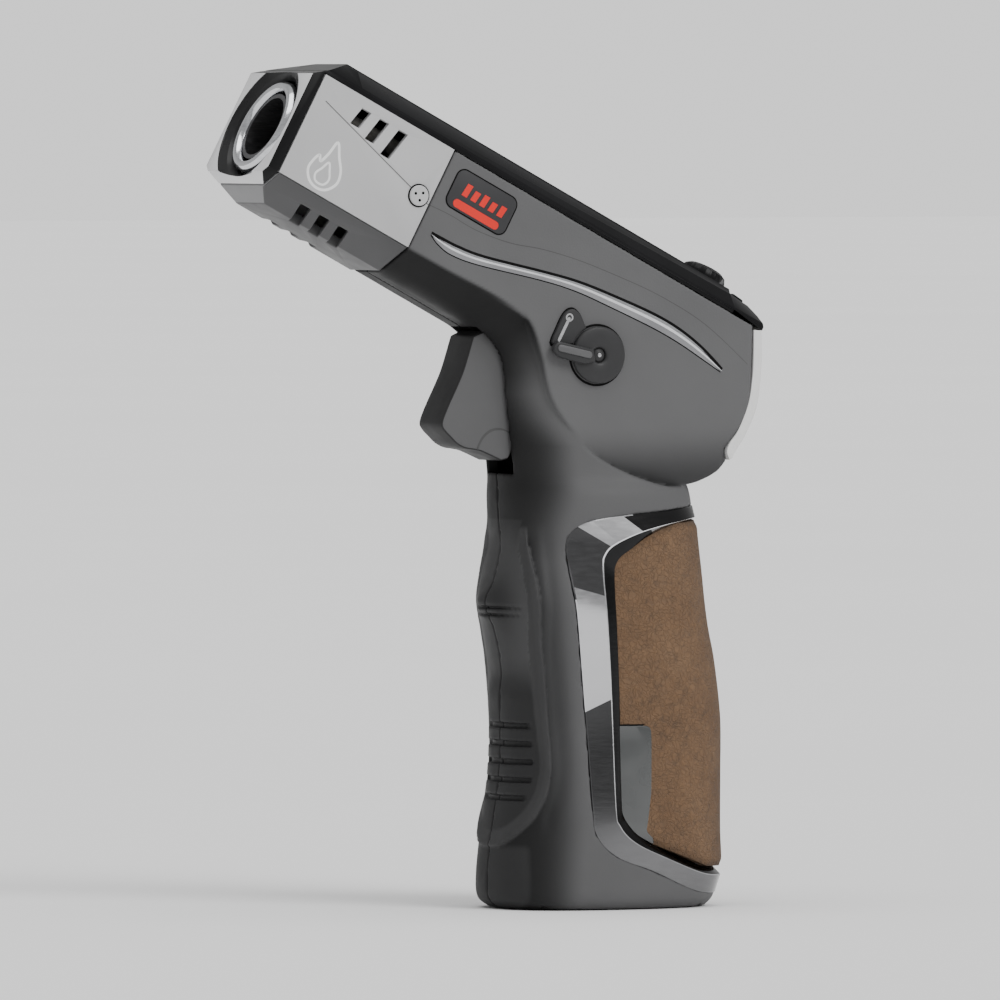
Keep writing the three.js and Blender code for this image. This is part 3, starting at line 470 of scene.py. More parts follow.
def grip_distance(x, y, z, inset=0.0):
    front, back, half = station(z)
    centre = (front + back) / 2
    reach = (back - front) / 2 - inset
    half = half - inset
    ratio = (np.abs((x - centre) / reach) ** ROUNDNESS + np.abs(y / half) ** ROUNDNESS) ** (1 / ROUNDNESS)
    radius = np.sqrt((x - centre) ** 2 + y ** 2)
    side = radius * (1 - 1 / np.maximum(ratio, 0.05))
    return side


def place_on_grip(side):
    """Puts a point of the side view on the grip's surface, lifted square to it."""
    def place(point, lift):
        x, z = point
        front, back, half = station(z)
        centre, reach = (front + back) / 2, (back - front) / 2
        across = np.clip((x - centre) / reach, -0.9999, 0.9999)
        y = half * (1 - abs(across) ** ROUNDNESS) ** (1 / ROUNDNESS)
        normal = np.array([np.sign(across) * abs(across) ** (ROUNDNESS - 1) / reach,
                           (y / half) ** (ROUNDNESS - 1) / half])
        normal /= np.linalg.norm(normal)
        return centre + reach * across + normal[0] * lift, side * max(y + normal[1] * lift, 0.04), z
    return place


def place_on_face(side, face=FACE):
    """Puts a point of the side view on a flat side."""
    return lambda point, lift: (point[0], side * (face + lift), point[1])


# The strip that runs down each side of the grip's front, by its front and rear edges.
STRIP_FRONT = [(-17.4, 70.5), (-17.8, 64.0), (-18.0, 59.0), (-17.9, 54.5), (-17.2, 48.2), (-16.6, 42.8),
               (-15.9, 35.0),
               (-15.3, 26.6), (-15.7, 23.0), (-16.4, 20.3), (-17.5, 18.0), (-18.6, 16.2), (-20.4, 13.4)]
STRIP_REAR = [(-17.0, 70.5), (-16.7, 64.0), (-16.3, 59.0), (-16.0, 54.5), (-15.5, 48.2), (-14.8, 42.8),
              (-14.2, 35.0),
              (-13.7, 26.6), (-14.0, 23.0), (-14.6, 20.3), (-15.7, 18.0), (-17.0, 15.6), (-21.5, 9.6)]
strip_distance = Outline(np.concatenate([curve_through(STRIP_FRONT, 5),
                                         curve_through(STRIP_REAR, 5)[::-1]]), 0.2, 8)
RIB = SimpleNamespace(first=19.9, pitch=3.25, count=5)
FINE_LINES = (54.2, 52.9)


def barrel_frame(x, z):
    dx, dz = x - MUZZLE.x, z - MUZZLE.z
    return dx * BACK.x + dz * BACK.z, dx * RISE.x + dz * RISE.z


def face_limit(z):
    """Half width of the side covers, which curve inwards towards the bottom of the lobe."""
    return FACE - 0.015 * np.maximum(0, 89 - z) ** 2


def body_solid(x, y, z):
    """The outer form that both shells and the side covers share."""
    y = np.abs(y)
    u, h = barrel_frame(x, z)
    lobe = lobe_distance(x, z)
    plate = smooth_max(lobe, y - face_limit(z), 0.6)
    chamfer = ((y - FACE) * 4.8 - (h - HEAD.side_low) * 7) / 8.49
    head = smooth_max(y - FACE, chamfer, 0.5)
    head = smooth_max(head, HEAD.bottom - h, 1.5)
    head = smooth_max(head, u - 58, 3)
    grip = np.maximum(grip_distance(x, y, z), -z)
    grip = smooth_max(grip, z - 106, 2)
    neck = smooth_min(head, grip, 0.4 + 5.6 * step_between(-9, -15, x))
    neck = np.maximum(neck, y - FACE - 3.5 * step_between(84, 76, z))
    neck = np.maximum(neck, -np.maximum(lobe, face_limit(z) - y))
    whole = np.minimum(neck, plate)
    return np.maximum(whole, np.maximum(h - HEAD.side_top + 0.1, HEAD.panel_end + 0.3 - u))


def front_relief(x, z):
    """The strip beside the fingers stands out; the hollows next to it go in."""
    strip = strip_distance(x, z)
    outside = strip > 0
    valley = np.exp(-((strip - 1.7) / 1.3) ** 2) * outside * step_between(-16, -13.5, x)
    scoop = np.exp(-((strip - 1.6) / 1.5) ** 2) * outside * step_between(-15, -17, x)
    scoop = scoop * (step_between(37, 43, z) * step_between(70, 64, z))
    lift = 0.55 * step_between(0.1, -0.45, strip) - 0.9 * valley - 0.8 * scoop
    return lift * step_between(71, 66, z)


def front_grooves(x, side, z, outer):
    """The grooves between the ribs at the front, and two fine lines above them."""
    groove = np.full(x.shape, 1e3, x.dtype)
    for i in range(RIB.count):
        groove = np.minimum(groove, np.abs(z - RIB.first - i * RIB.pitch) - 0.5)
    reach = np.maximum(np.maximum(groove, side - 9.0), 0.5 - strip_distance(x, z))
    grooves = np.maximum(np.maximum(reach, x + 10), -(outer + 0.8))
    for height in FINE_LINES:
        line = np.maximum(np.maximum(np.abs(z - height) - 0.22, x + 18.4), -(outer + 0.4))
        grooves = np.minimum(grooves, line)
    return grooves


def shell_field(x, y, z):
    """The shells: hollow, with seats for the frames and openings for the trigger and the base cover."""
    solid = body_solid(x, y, z)
    side = np.abs(y)
    outer = solid - front_relief(x, z)
    shaped = smooth_max(outer, -front_grooves(x, side, z, outer), 0.2)
    seat = np.maximum(frame_distance(x, z), -(grip_distance(x, y, z) + WALL))
    opening = np.maximum(slot_distance(x, z), side - 5.2)
    base = np.maximum(np.maximum(np.abs(x - 1) - 15.8, side - 10.8), z - 2.7)
    for gone in (seat, solid + WALL, opening, base):
        shaped = np.maximum(shaped, -gone)
    return shaped


# Where the painted light on the shells is brightest: the front edge of the frames and of the rear lobe, by
# height.
PAINTED_LIGHT_EDGE = np.array([(0, -8.5), (15, -7.5), (35, -8.2), (52, -9.8), (62, -11.4), (68, -10.5), (76, -8),
                       (83.2, -8.5),
                       (88.2, -12.6), (92.8, -15.2), (99, -16.6), (105.7, -19.0)])


def painted_shell_light(points):
    """Painted light and shade on the shells, which run into each other: light covers, painted shade on the
    front and underside.
    """
    x, y, z = points.T
    u, h = barrel_frame(x, z)
    lobe = lobe_distance(x, z)
    ahead = np.interp(z, *PAINTED_LIGHT_EDGE.T) - x
    # painted light near the front edge of the frames and of the lobe, falling to painted shade ahead of it
    grip = 0.16 + 0.72 * np.exp(-(np.maximum(ahead, 0) / 4.4) ** 2)
    strip = strip_distance(x, z)
    front_x, front_z = np.array(STRIP_FRONT[::-1]).T
    before = (x < np.interp(z, front_z, front_x)) & (z < 70)
    # painted highlights on and beside the raised strip, and low at the front
    front = 0.27 + 0.3 * np.exp(-(strip / 1.6) ** 2) * step_between(38, 46, z) * step_between(70, 62, z)
    grip = np.where(before, np.maximum(grip, front), grip)
    grip = np.maximum(grip, 0.42 * step_between(0.5, -0.1, strip) * step_between(70, 68, z))
    grip = np.maximum(grip, 0.3 * step_between(13, 10.5, z) * step_between(-16, -18, x))
    # painted shade on the underside of the head
    under = step_between(-8.5, -9.0, h) * step_between(70, 58, u) * step_between(90, 97, z)
    tone = grip * (1 - under) + np.minimum(grip, 0.15) * under
    # painted shade towards the bottom of the flat covers
    covers = 1 - 0.6 * step_between(87, 76.5, z)
    out = np.abs(y) - face_limit(z)
    flat = step_between(0.35, -0.35, lobe) * step_between(-1.0, -0.3, out)
    return tone * (1 - flat) + covers * flat


def left_shell(x, y, z):
    return np.maximum(shell_field(x, y, z), y + PARTING_GAP)


def make_shells():
    """Both shells from one surface: the right one is the left one mirrored."""
    points, faces = surface_net(left_shell, (-47, -18, -1), (30, 1, 138), NET_PITCH)
    # painted light and shade for each point of the shells
    light_and_shade = painted_shell_light(points)
    for name, side, quads in (("left", 1, faces), ("right", -1, faces[:, ::-1])):
        shell = build(f"shell_{name}", points * np.array([1, side, 1]), quads, PLAIN, 180)
        set_painted_light(shell, light_and_shade)
        finish_piece(shell, "shell", "dark_shell", f"grip_shell_{name}", f"side_cover_{name}")


# ---- materials ---------------------------------------------------------------------------------

MAT = {}


def new_material(name):
    material = bpy.data.materials.new(name)
    material.use_nodes = True
    shader = material.node_tree.nodes["Principled BSDF"]
    return material, material.node_tree, shader


def noise(tree, scale, detail=4, roughness=0.5, vector=None):
    """Noise over the piece's own coordinates, or over another vector."""
    texture = tree.nodes.new("ShaderNodeTexNoise")
    for name, value in (("Scale", scale), ("Detail", detail), ("Roughness", roughness)):
        texture.inputs[name].default_value = value
    tree.links.new(vector or own_place(tree), texture.inputs["Vector"])
    return texture


def own_place(tree):
    return tree.nodes.new("ShaderNodeTexCoord").outputs["Object"]


def ramp(tree, source, stops):
    node = tree.nodes.new("ShaderNodeValToRGB")
    elements = node.color_ramp.elements
    while len(elements) < len(stops):
        elements.new(0.5)
    for element, (place, color) in zip(elements, stops):
        element.position = place
        element.color = color if len(color) == 4 else (*color, 1)
    tree.links.new(source, node.inputs["Fac"])
    return node


def grey(value):
    return (value, value, value)


def bump(tree, shader, source, strength, distance):
    node = tree.nodes.new("ShaderNodeBump")
    node.inputs["Strength"].default_value = strength
    node.inputs["Distance"].default_value = distance
    tree.links.new(source, node.inputs["Height"])
    tree.links.new(node.outputs["Normal"], shader.inputs["Normal"])


def moulded(name, dark, light, rough, bump_size=0.00004, grain=2600, metallic=0.0, with_painted_light=False, shine=0.3):
    """Plastic or paint: a little variation of tone and gloss, and a fine moulded grain."""
    material, tree, shader = new_material(name)
    wide = noise(tree, 60, 3)
    tone = ramp(tree, wide.outputs["Fac"], [(0.3, dark), (0.7, light)])
    # with painted light, the colour is scaled by the painted light and shade stored on the mesh
    color = scaled_by_painted_light(tree, tone.outputs["Color"]) if with_painted_light else tone.outputs["Color"]
    tree.links.new(color, shader.inputs["Base Color"])
    gloss = noise(tree, 260, 5)
    level = ramp(tree, gloss.outputs["Fac"], [(0.3, grey(rough * 0.88)), (0.7, grey(rough * 1.12))])
    tree.links.new(level.outputs["Color"], shader.inputs["Roughness"])
    fine = noise(tree, grain, 2)
    bump(tree, shader, fine.outputs["Fac"], 0.35, bump_size)
    shader.inputs["Metallic"].default_value = metallic
    shader.inputs["Specular IOR Level"].default_value = shine
    MAT[name] = material


def scaled_by_painted_light(tree, color):
    """The colour times the painted light and shade that the mesh stores as its tone."""
    tone = tree.nodes.new("ShaderNodeAttribute")
    tone.attribute_name = "tone"
    scale = tree.nodes.new("ShaderNodeVectorMath")
    scale.operation = "SCALE"
    tree.links.new(color, scale.inputs[0])
    tree.links.new(tone.outputs["Fac"], scale.inputs["Scale"])
    return scale.outputs["Vector"]


def brushed(name, dark, light, rough, stretch=(1, 1, 30), with_painted_light=False):
    """Metal with fine lines; stretch squeezes the noise along each axis."""
    material, tree, shader = new_material(name)
    mapping = tree.nodes.new("ShaderNodeMapping")
    mapping.inputs["Scale"].default_value = stretch
    tree.links.new(own_place(tree), mapping.inputs["Vector"])
    texture = noise(tree, 400, vector=mapping.outputs["Vector"])
    tone = ramp(tree, texture.outputs["Fac"], [(0.3, dark), (0.7, light)])
    # with painted light, the colour is scaled by the painted light and shade stored on the mesh
    color = scaled_by_painted_light(tree, tone.outputs["Color"]) if with_painted_light else tone.outputs["Color"]
    tree.links.new(color, shader.inputs["Base Color"])
    level = ramp(tree, texture.outputs["Fac"], [(0.3, grey(rough * 0.8)), (0.7, grey(rough * 1.2))])
    tree.links.new(level.outputs["Color"], shader.inputs["Roughness"])
    bump(tree, shader, texture.outputs["Fac"], 0.15, 0.00003)
    shader.inputs["Metallic"].default_value = 1.0
    MAT[name] = material


def leather_material():
    """Brown leather: cloudy colour, dark pores, and a crinkled grain of small warped cells."""
    material, tree, shader = new_material("leather")
    warp = noise(tree, 420, 4)
    add = tree.nodes.new("ShaderNodeVectorMath")
    add.operation = "MULTIPLY_ADD"
    add.inputs[1].default_value = (0.003, 0.003, 0.003)
    tree.links.new(warp.outputs["Color"], add.inputs[0])
    tree.links.new(own_place(tree), add.inputs[2])
    cells = tree.nodes.new("ShaderNodeTexVoronoi")
    cells.feature = "DISTANCE_TO_EDGE"
    cells.inputs["Scale"].default_value = 1100
    tree.links.new(add.outputs["Vector"], cells.inputs["Vector"])
    folds = noise(tree, 620, 9, 0.72)
    clouds = noise(tree, 110, 6, 0.65)
    brown = [(0.3, (0.135, 0.074, 0.036)), (0.5, (0.155, 0.087, 0.043)), (0.7, (0.178, 0.103, 0.053))]
    tone = ramp(tree, clouds.outputs["Fac"], brown)
    pores = ramp(tree, folds.outputs["Fac"], [(0.3, grey(0.55)), (0.45, grey(0.9)), (0.64, grey(1.1))])
    mix = tree.nodes.new("ShaderNodeMixRGB")
    mix.blend_type = "MULTIPLY"
    mix.inputs["Fac"].default_value = 1
    tree.links.new(tone.outputs["Color"], mix.inputs["Color1"])
    tree.links.new(pores.outputs["Color"], mix.inputs["Color2"])
    # the leather's colour is scaled by its painted shade
    tree.links.new(scaled_by_painted_light(tree, mix.outputs["Color"]), shader.inputs["Base Color"])
    level = ramp(tree, folds.outputs["Fac"], [(0.3, grey(0.66)), (0.7, grey(0.88))])
    tree.links.new(level.outputs["Color"], shader.inputs["Roughness"])
    height = tree.nodes.new("ShaderNodeMath")
    height.operation = "MULTIPLY_ADD"
    height.inputs[1].default_value = 0.35
    flat = ramp(tree, cells.outputs["Distance"], [(0.0, grey(0)), (0.12, grey(1))])
    tree.links.new(flat.outputs["Color"], height.inputs[0])
    tree.links.new(folds.outputs["Fac"], height.inputs[2])
    bump(tree, shader, height.outputs["Value"], 0.9, 0.0004)
    MAT["leather"] = material


def smoke_material():
    """Smoked plastic that lets a little light through."""
    material, tree, shader = new_material("smoke")
    tone = ramp(tree, noise(tree, 120, 2).outputs["Fac"],
                [(0.3, (0.075, 0.08, 0.08)), (0.7, (0.11, 0.115, 0.115))])
    tree.links.new(tone.outputs["Color"], shader.inputs["Base Color"])
    shader.inputs["Roughness"].default_value = 0.12
    shader.inputs["Transmission Weight"].default_value = 0.35
    shader.inputs["Coat Weight"].default_value = 0.5
    MAT["smoke"] = material


def make_materials():
    moulded("shell", (0.112, 0.112, 0.114), (0.122, 0.122, 0.124), 0.5, with_painted_light=True, shine=0.1)
    moulded("rail", (0.004, 0.004, 0.0045), (0.008, 0.008, 0.009), 0.3, 0.00001, shine=0.14)
    moulded("silver", (0.47, 0.47, 0.475), (0.51, 0.51, 0.515), 0.45, 0.00002)
    moulded("shroud", (0.085, 0.085, 0.087), (0.1, 0.1, 0.102), 0.42, 0.00002, with_painted_light=True, shine=0.15)
    moulded("nose", (0.005, 0.005, 0.0055), (0.009, 0.009, 0.0095), 0.35, 0.00001, shine=0.12)
    moulded("recess", (0.012, 0.012, 0.0125), (0.03, 0.03, 0.031), 0.3, 0.00001, shine=0.2)
    moulded("seam", (0.12, 0.12, 0.12), (0.15, 0.15, 0.15), 0.6, 0.00001)
    moulded("seam_dark", (0.06, 0.06, 0.06), (0.075, 0.075, 0.075), 0.6, 0.00001)
    moulded("badge", (0.04, 0.04, 0.042), (0.05, 0.05, 0.052), 0.4, 0.00001, shine=0.15)
    moulded("shell_dark", (0.035, 0.035, 0.036), (0.045, 0.045, 0.046), 0.45, shine=0.15)
    moulded("rail_light", (0.09, 0.09, 0.092), (0.11, 0.11, 0.112), 0.35, 0.00001)
    moulded("nose_face", (0.68, 0.68, 0.69), (0.76, 0.76, 0.77), 0.35, 0.00001)
    moulded("black", (0.03, 0.03, 0.031), (0.04, 0.04, 0.041), 0.42, shine=0.2)
    moulded("white", (0.72, 0.72, 0.71), (0.8, 0.8, 0.79), 0.35, 0.00001)
    moulded("red", (0.72, 0.03, 0.025), (0.8, 0.045, 0.035), 0.35, 0.00001, shine=0.1)
    moulded("print", (0.82, 0.82, 0.82), (0.9, 0.9, 0.9), 0.5, 0.00001)
    brushed("chrome", (0.62, 0.63, 0.65), (0.74, 0.75, 0.77), 0.16, (1, 1, 6))
    brushed("chrome_painted_reflection", (0.78, 0.78, 0.8), (0.86, 0.86, 0.88), 0.16, (1, 1, 4), with_painted_light=True)
    moulded("line", (0.004, 0.004, 0.004), (0.008, 0.008, 0.008), 0.6, 0.00001, shine=0.05)
    moulded("inlay_shade", (0.2, 0.2, 0.21), (0.3, 0.3, 0.31), 0.3, 0.00001, metallic=0.8)
    brushed("steel", (0.42, 0.42, 0.43), (0.55, 0.55, 0.56), 0.32)
    brushed("dark_steel", (0.1, 0.1, 0.105), (0.16, 0.16, 0.165), 0.4)
    brushed("brass", (0.5, 0.35, 0.14), (0.62, 0.45, 0.2), 0.3)
    moulded("ceramic", (0.72, 0.7, 0.64), (0.8, 0.78, 0.72), 0.55)
    moulded("clear", (0.42, 0.46, 0.47), (0.5, 0.54, 0.55), 0.2)
    moulded("rubber", (0.02, 0.02, 0.02), (0.03, 0.03, 0.03), 0.75)
    moulded("wire", (0.3, 0.03, 0.025), (0.38, 0.045, 0.035), 0.5)
    moulded("felt", (0.6, 0.57, 0.48), (0.7, 0.67, 0.58), 0.95, 0.0001, 1800)
    leather_material()
    smoke_material()


# ---- head --------------------------------------------------------------------------------------


def nose_top_cutter():
    """What the slanted cut above the nose takes away."""
    n = NOSE
    outline = [(n.top_end, HEAD.top), (n.top_end + 4, 30), (-10, 30), (-10, n.front_top), (0, n.front_top)]
    return side_prism("nose_top", outline, -30, 30, BARREL)


def nose_low_cutter():
    """What the slanted cut below the nose takes away."""
    n = NOSE
    outline = [(n.low_end, HEAD.bottom), (0, n.front_low), (-10, n.front_low), (-10, -30),
               (n.low_end + 4, -30)]
    return side_prism("nose_low", outline, -30, 30, BARREL)


def make_rail():
    """Gloss top cover: a channel with solid ends, stepped down behind the flame knob."""
    h = HEAD
    half = [(h.half + 0.02, h.side_top), (h.half + 0.02, h.side_top + 0.7),
            (h.half - 0.35, h.side_top + 1.25),
            (h.top_half + 0.9, h.top - 0.75), (h.top_half + 0.2, h.top - 0.2), (h.top_half - 0.8, h.top)]
    inner = [(h.top_half - 1, h.top - 2), (h.half - 2, h.side_top)]
    closed = half + mirrored(half)
    outline = closed + mirrored(inner) + inner
    rail = barrel_prism("rail", outline, h.panel_start, h.rear - 0.4)
    end = barrel_prism("end", closed, RAIL_STEP.start, h.rear)
    front = barrel_prism("front", closed, h.panel_start, NOSE.top_end + 2)
    merge(rail, end, front)
    rear = h.rear
    fall = [(RAIL_STEP.start, RAIL_STEP.high), (rear - 3, RAIL_STEP.high - 0.4),
            (rear - 1.2, RAIL_STEP.low),
            (rear - 0.3, RAIL_STEP.low - 1.0), (rear + 0.1, RAIL_STEP.low - 2.0)]
    step = side_prism("step", fall + [(rear + 2, 10), (rear + 2, 20), (RAIL_STEP.start, 20)], -14, 14,
                      BARREL)
    hole = lathe("hole", [(0, 5), (2, 5), (2, 30), (0, 30)], "z", (KNOB_U, 0, 0), 40, BARREL)
    cut(rail, hole, step, nose_top_cutter())
    rounded(rail, 0.3, 3, 25)
    finish_piece(rail, "rail", "gloss_black", "top_cover")


VENTS = [(11.6, 5.6, 0.9), (15.6, 4.5, 1.1), (19.8, 3.5,
                                              1.3)]  # upper end along the barrel, lower end, slant
SCREW_AT = (28.7, 0.5)


def make_panels():
    """Silver side panels with vent slots, and what is on them."""
    h = HEAD
    for name, side in (("left", -1), ("right", 1)):
        levels = sorted((side * (h.half - 1.2), side * h.half))
        outline = [(h.panel_start, h.side_low + 0.1), (h.panel_end, h.side_low + 0.1),
                   (h.panel_end, h.side_top - 0.05), (h.panel_start, h.side_top - 0.05)]
        panel = side_prism(f"heat_panel_{name}_fine", outline, *levels, BARREL)
        for u, foot, slant in VENTS:
            slot = [(u, 9.1), (u - slant, foot), (u - slant + 2, foot), (u + 2, 9.1)]
            cut(panel, side_prism("slot", slot, side * 10, side * 15, BARREL))
        cut(panel, lathe("hole", [(0, 10 * side), (1.1, 10 * side), (1.1, 15 * side), (0, 15 * side)], "y",
                         (SCREW_AT[0], 0, SCREW_AT[1]), 24, BARREL), nose_top_cutter(), nose_low_cutter())
        rounded(panel, 0.08, 2)
        finish_piece(panel, "silver", "silver_paint", f"heat_panel_{name}")
        make_panel_marks(name, side)
        make_panel_screw(name, side)


def raised(name, one, two, lift, place, material, slot, per_span=1, matrix=PLAIN):
    """A thin flat band between two curves, stood on a surface."""
    band = swept(name, one, two, [(0, -0.3), (0, lift), (1, lift), (1, -0.3)], place, per_span, 30, matrix)
    finish_piece(band, material, slot)


def make_panel_marks(name, side):
    """The seam across the panel and a plain flame outline."""
    raised(f"panel_seam_{name}", [(4.6, 6.9), (26.7, 1.2)], [(4.5, 6.72), (26.6, 1.02)], 0.012,
           place_on_face(side), "seam",
           "silver_paint", 1, BARREL)
    flame = [(0, 4.6), (1.5, 2.3), (2.9, 0.2), (3.2, -2.0), (1.9, -3.9), (0, -4.5), (-1.9, -3.9),
             (-3.1, -2.2),
             (-2.9, -0.4), (-2.2, 1.0), (-1.5, 0.1), (-0.7, 2.0)]
    inner = [(0.1, 0.6), (0.9, -0.7), (1.5, -2.1), (1.0, -3.3), (0, -3.6), (-1.0, -3.3), (-1.4, -2.2),
             (-0.7, -0.9)]
    for mark, points, width in (("outer", flame, 0.5), ("inner", inner, 0.4)):
        line = curve_through(points, 8, True)
        ahead = np.roll(line, -1, 0) - np.roll(line, 1, 0)
        normal = np.stack([ahead[:, 1], -ahead[:, 0]], 1) / np.linalg.norm(ahead, axis=1)[:, None]
        shift = np.array([10.2, -3.2])
        one, two = line + normal * width / 2 + shift, line - normal * width / 2 + shift
        one, two = np.vstack([one, one[:1]]), np.vstack([two, two[:1]])
        raised(f"flame_{mark}_{name}", one, two, 0.02, place_on_face(side), "print", "silver_paint", 1,
               BARREL)


def make_panel_screw(name, side):
    u, h = SCREW_AT
    face = HEAD.half
    body = [(0, face - 5), (0.9, face - 5), (0.9, face + 0.02), (1.85, face + 0.02), (1.85, face + 0.3),
            (1.7, face + 0.42),
            (0, face + 0.42)]
    screw = lathe(f"panel_screw_{name}_fine", [(r, side * y) for r, y in body], "y", (u, 0, h), 40, BARREL)
    finish_piece(screw, "silver", "steel", f"panel_screw_{name}")
    rim = [(1.84, face - 0.1), (2.1, face - 0.1), (2.1, face + 0.12), (1.84, face + 0.12)]
    ring = lathe(f"screw_rim_{name}", [(r, side * y) for r, y in rim], "y", (u, 0, h), 40, BARREL, True)
    finish_piece(ring, "line", "steel")
    for i, angle in enumerate((60, 180, 300)):
        at = (u + 0.85 * math.cos(math.radians(angle)), 0, h + 0.85 * math.sin(math.radians(angle)))
        dot = [(0, face + 0.3), (0.26, face + 0.3), (0.26, face + 0.44), (0, face + 0.44)]
        pit = lathe(f"screw_pit_{name}_{i}", [(r, side * y) for r, y in dot], "y", at, 16, BARREL)
        finish_piece(pit, "line", "steel")


def make_front():
    """Shroud under the head, nose and muzzle ring."""
    shroud = refined("front_shroud", "shroud_fine", 0.25, 3)
    finish_piece(shroud, "shroud", "shroud_grey", "front_shroud")
    paint_shroud_light_and_shade(shroud)
    make_nose()
    ring = lathe("ring_fine", [(6.85, 7), (6.85, 1.9), (7.0, 1.2), (7.4, 0.75), (7.9, 0.6), (8.4, 0.7),
                               (8.85, 1.1),
                               (9.1, 1.8), (9.1, 7)], "u", (0, 0, 0), 96, BARREL, True)
    finish_piece(ring, "chrome", "chrome", "muzzle_ring")


def paint_shroud_light_and_shade(shroud):
    """Painted shade where it meets the panels, lighter below, and a painted highlight on the slanted front.
    """
    light_and_shade = []
    for face in shroud.data.polygons:
        across = BARREL.inverted() @ face.center
        # painted highlight on the slanted front faces, painted shade on the upper sides
        if face.normal.dot(BACK) < -0.5 and across.x < 5.8:
            light_and_shade.append(2.6)
        elif across.z > -11.4 and abs(across.y) > 9:
            light_and_shade.append(0.62)
        else:
            light_and_shade.append(1.0)
    set_painted_light(shroud, light_and_shade, "FACE")


def make_nose():
    """Black nose band with a light front face and a dark recess round the ring."""
    h, back = HEAD, HEAD.panel_start - 0.25
    corner = [(h.half, h.side_low), (h.half, h.side_top), (h.top_half, h.top)]
    low = (h.bottom_half + 0.02, h.bottom)
    outline = [low, *corner, *mirrored([low, *corner])]
    nose = barrel_prism("nose_fine", outline, 0, back)
    cone = lathe("cone", [(0, -1), (NOSE.recess, -1), (NOSE.recess - 0.2, 0.25), (10.4, 0.9),
                          (9.35, back + 0.3), (0, back + 0.3)],
                 "u", (0, 0, 0), 96, BARREL)
    cut(nose, nose_top_cutter(), nose_low_cutter(), cone)
    rounded(nose, 0.12, 2)
    finish_piece(nose, "nose", "gloss_black", "nose_cap")
    nose.data.materials.append(MAT["nose_face"])
    nose.data.materials.append(MAT["recess"])
    inverse = BARREL.inverted()
    for face in nose.data.polygons:
        at = inverse @ face.center
        ahead, upward = face.normal.dot(BACK), face.normal.dot(RISE)
        if ahead < -0.97 or (ahead < -0.4 and upward < -0.7 and at.z < -9.2):
            face.material_index = 1
        elif math.hypot(at.y, at.z) < NOSE.recess + 0.1 and ahead < 0.3:
            face.material_index = 2


# ---- grip trim ---------------------------------------------------------------------------------


FRAME_INNER = [(24, 69.4), (14, 68.9), (6, 67.0), (0.5, 64.2), (-1.6, 62.4), (-2.2, 59.8), (-1.8, 50),
               (-1.4, 37.4),
               (-1.0, 18.5), (-0.2, 15.8), (2.0, 13.4), (6.5, 10.9), (16.4, 7.5), (24, 7.2)]
# Outer edge, first facet, ridge, inner facet, wall down to the leather, and back underneath.
FRAME_SECTION = [(0, -2.0), (0, 0.06), (0.03, 0.16), (0.66, 0.5), (0.69, 0.42), (0.98, -1.0), (1.0, -2.0)]
LEATHER_TOP = [(-3, 63.0), (0.5, 64.6), (6, 67.3), (13, 69.2), (24, 69.7)]
LEATHER_LOW = [(-3, 16.0), (0.5, 14.4), (5, 11.6), (16.4, 7.3), (24, 7.0)]


def leather_point(angle, z, edge, thick):
    """A point at an angle from the back, and its painted shade; the sheet is sunk at its edges, proud
    behind.
    """
    share = math.cos(angle)
    across = np.sign(share) * abs(share) ** (2 / ROUNDNESS)
    front, back, half = station(z)
    centre, reach = (front + back) / 2, (back - front) / 2
    depth = -1.25 + 1.95 * step_between(-0.2, 0.75, across) - 0.5 * math.exp(-(edge / 0.8) ** 2) - thick
    x, y = centre + reach * across, half * abs(math.sin(angle)) ** (2 / ROUNDNESS) * np.sign(angle)
    normal = Vector((np.sign(across) * abs(across) ** (ROUNDNESS - 1) / reach,
                     np.sign(y) * (abs(y) / half) ** (ROUNDNESS - 1) / half, 0)).normalized()
    # painted shade along the sunk edges; the leather is also darker towards the back
    tone = 1.0 - 0.35 * math.exp(-(edge / 0.7) ** 2) - 0.3 * step_between(0.55, 1.0, max(across, 0))
    return (x + normal.x * depth, y + normal.y * depth, z), tone


def sheet_faces(columns, rows):
    """Faces of a closed sheet that has two layers of points."""
    def quad(*corners):
        return tuple((layer * columns + i) * rows + k for layer, i, k in corners)

    faces = []
    for i, k in itertools.product(range(columns - 1), range(rows - 1)):
        for layer in (0, 1):
            faces.append(quad((layer, i, k), (layer, i + 1, k), (layer, i + 1, k + 1), (layer, i, k + 1)))
    for i, k in itertools.product(range(columns - 1), (0, rows - 1)):
        faces.append(quad((0, i, k), (1, i, k), (1, i + 1, k), (0, i + 1, k)))
    for i, k in itertools.product((0, columns - 1), range(rows - 1)):
        faces.append(quad((0, i, k), (0, i, k + 1), (1, i, k + 1), (1, i, k)))
    return faces


def make_leather():
    """One sheet round the back of the grip."""
    columns, rows, wrap, sheet = 96, 120, 101, 1.4
    points = []
    for thick, angle in itertools.product((0, sheet), np.linspace(-1, 1, columns) * math.radians(wrap)):
        share = math.cos(angle)
        middle = 1.5 + 21.0 * np.sign(share) * abs(share) ** (2 / ROUNDNESS)
        low = np.interp(middle, *np.array(LEATHER_LOW).T)
        high = np.interp(middle, *np.array(LEATHER_TOP).T)
        points += [leather_point(angle, z, min(z - low, high - z), thick) for z in np.linspace(low, high,
                                                                                               rows)]
    leather = build("leather_fine", [point for point, tone in points], sheet_faces(columns, rows), PLAIN,
                    60)
    fix_normals(leather)
    set_painted_light(leather, [tone for point, tone in points])
    finish_piece(leather, "leather", "leather", "leather_saddle")


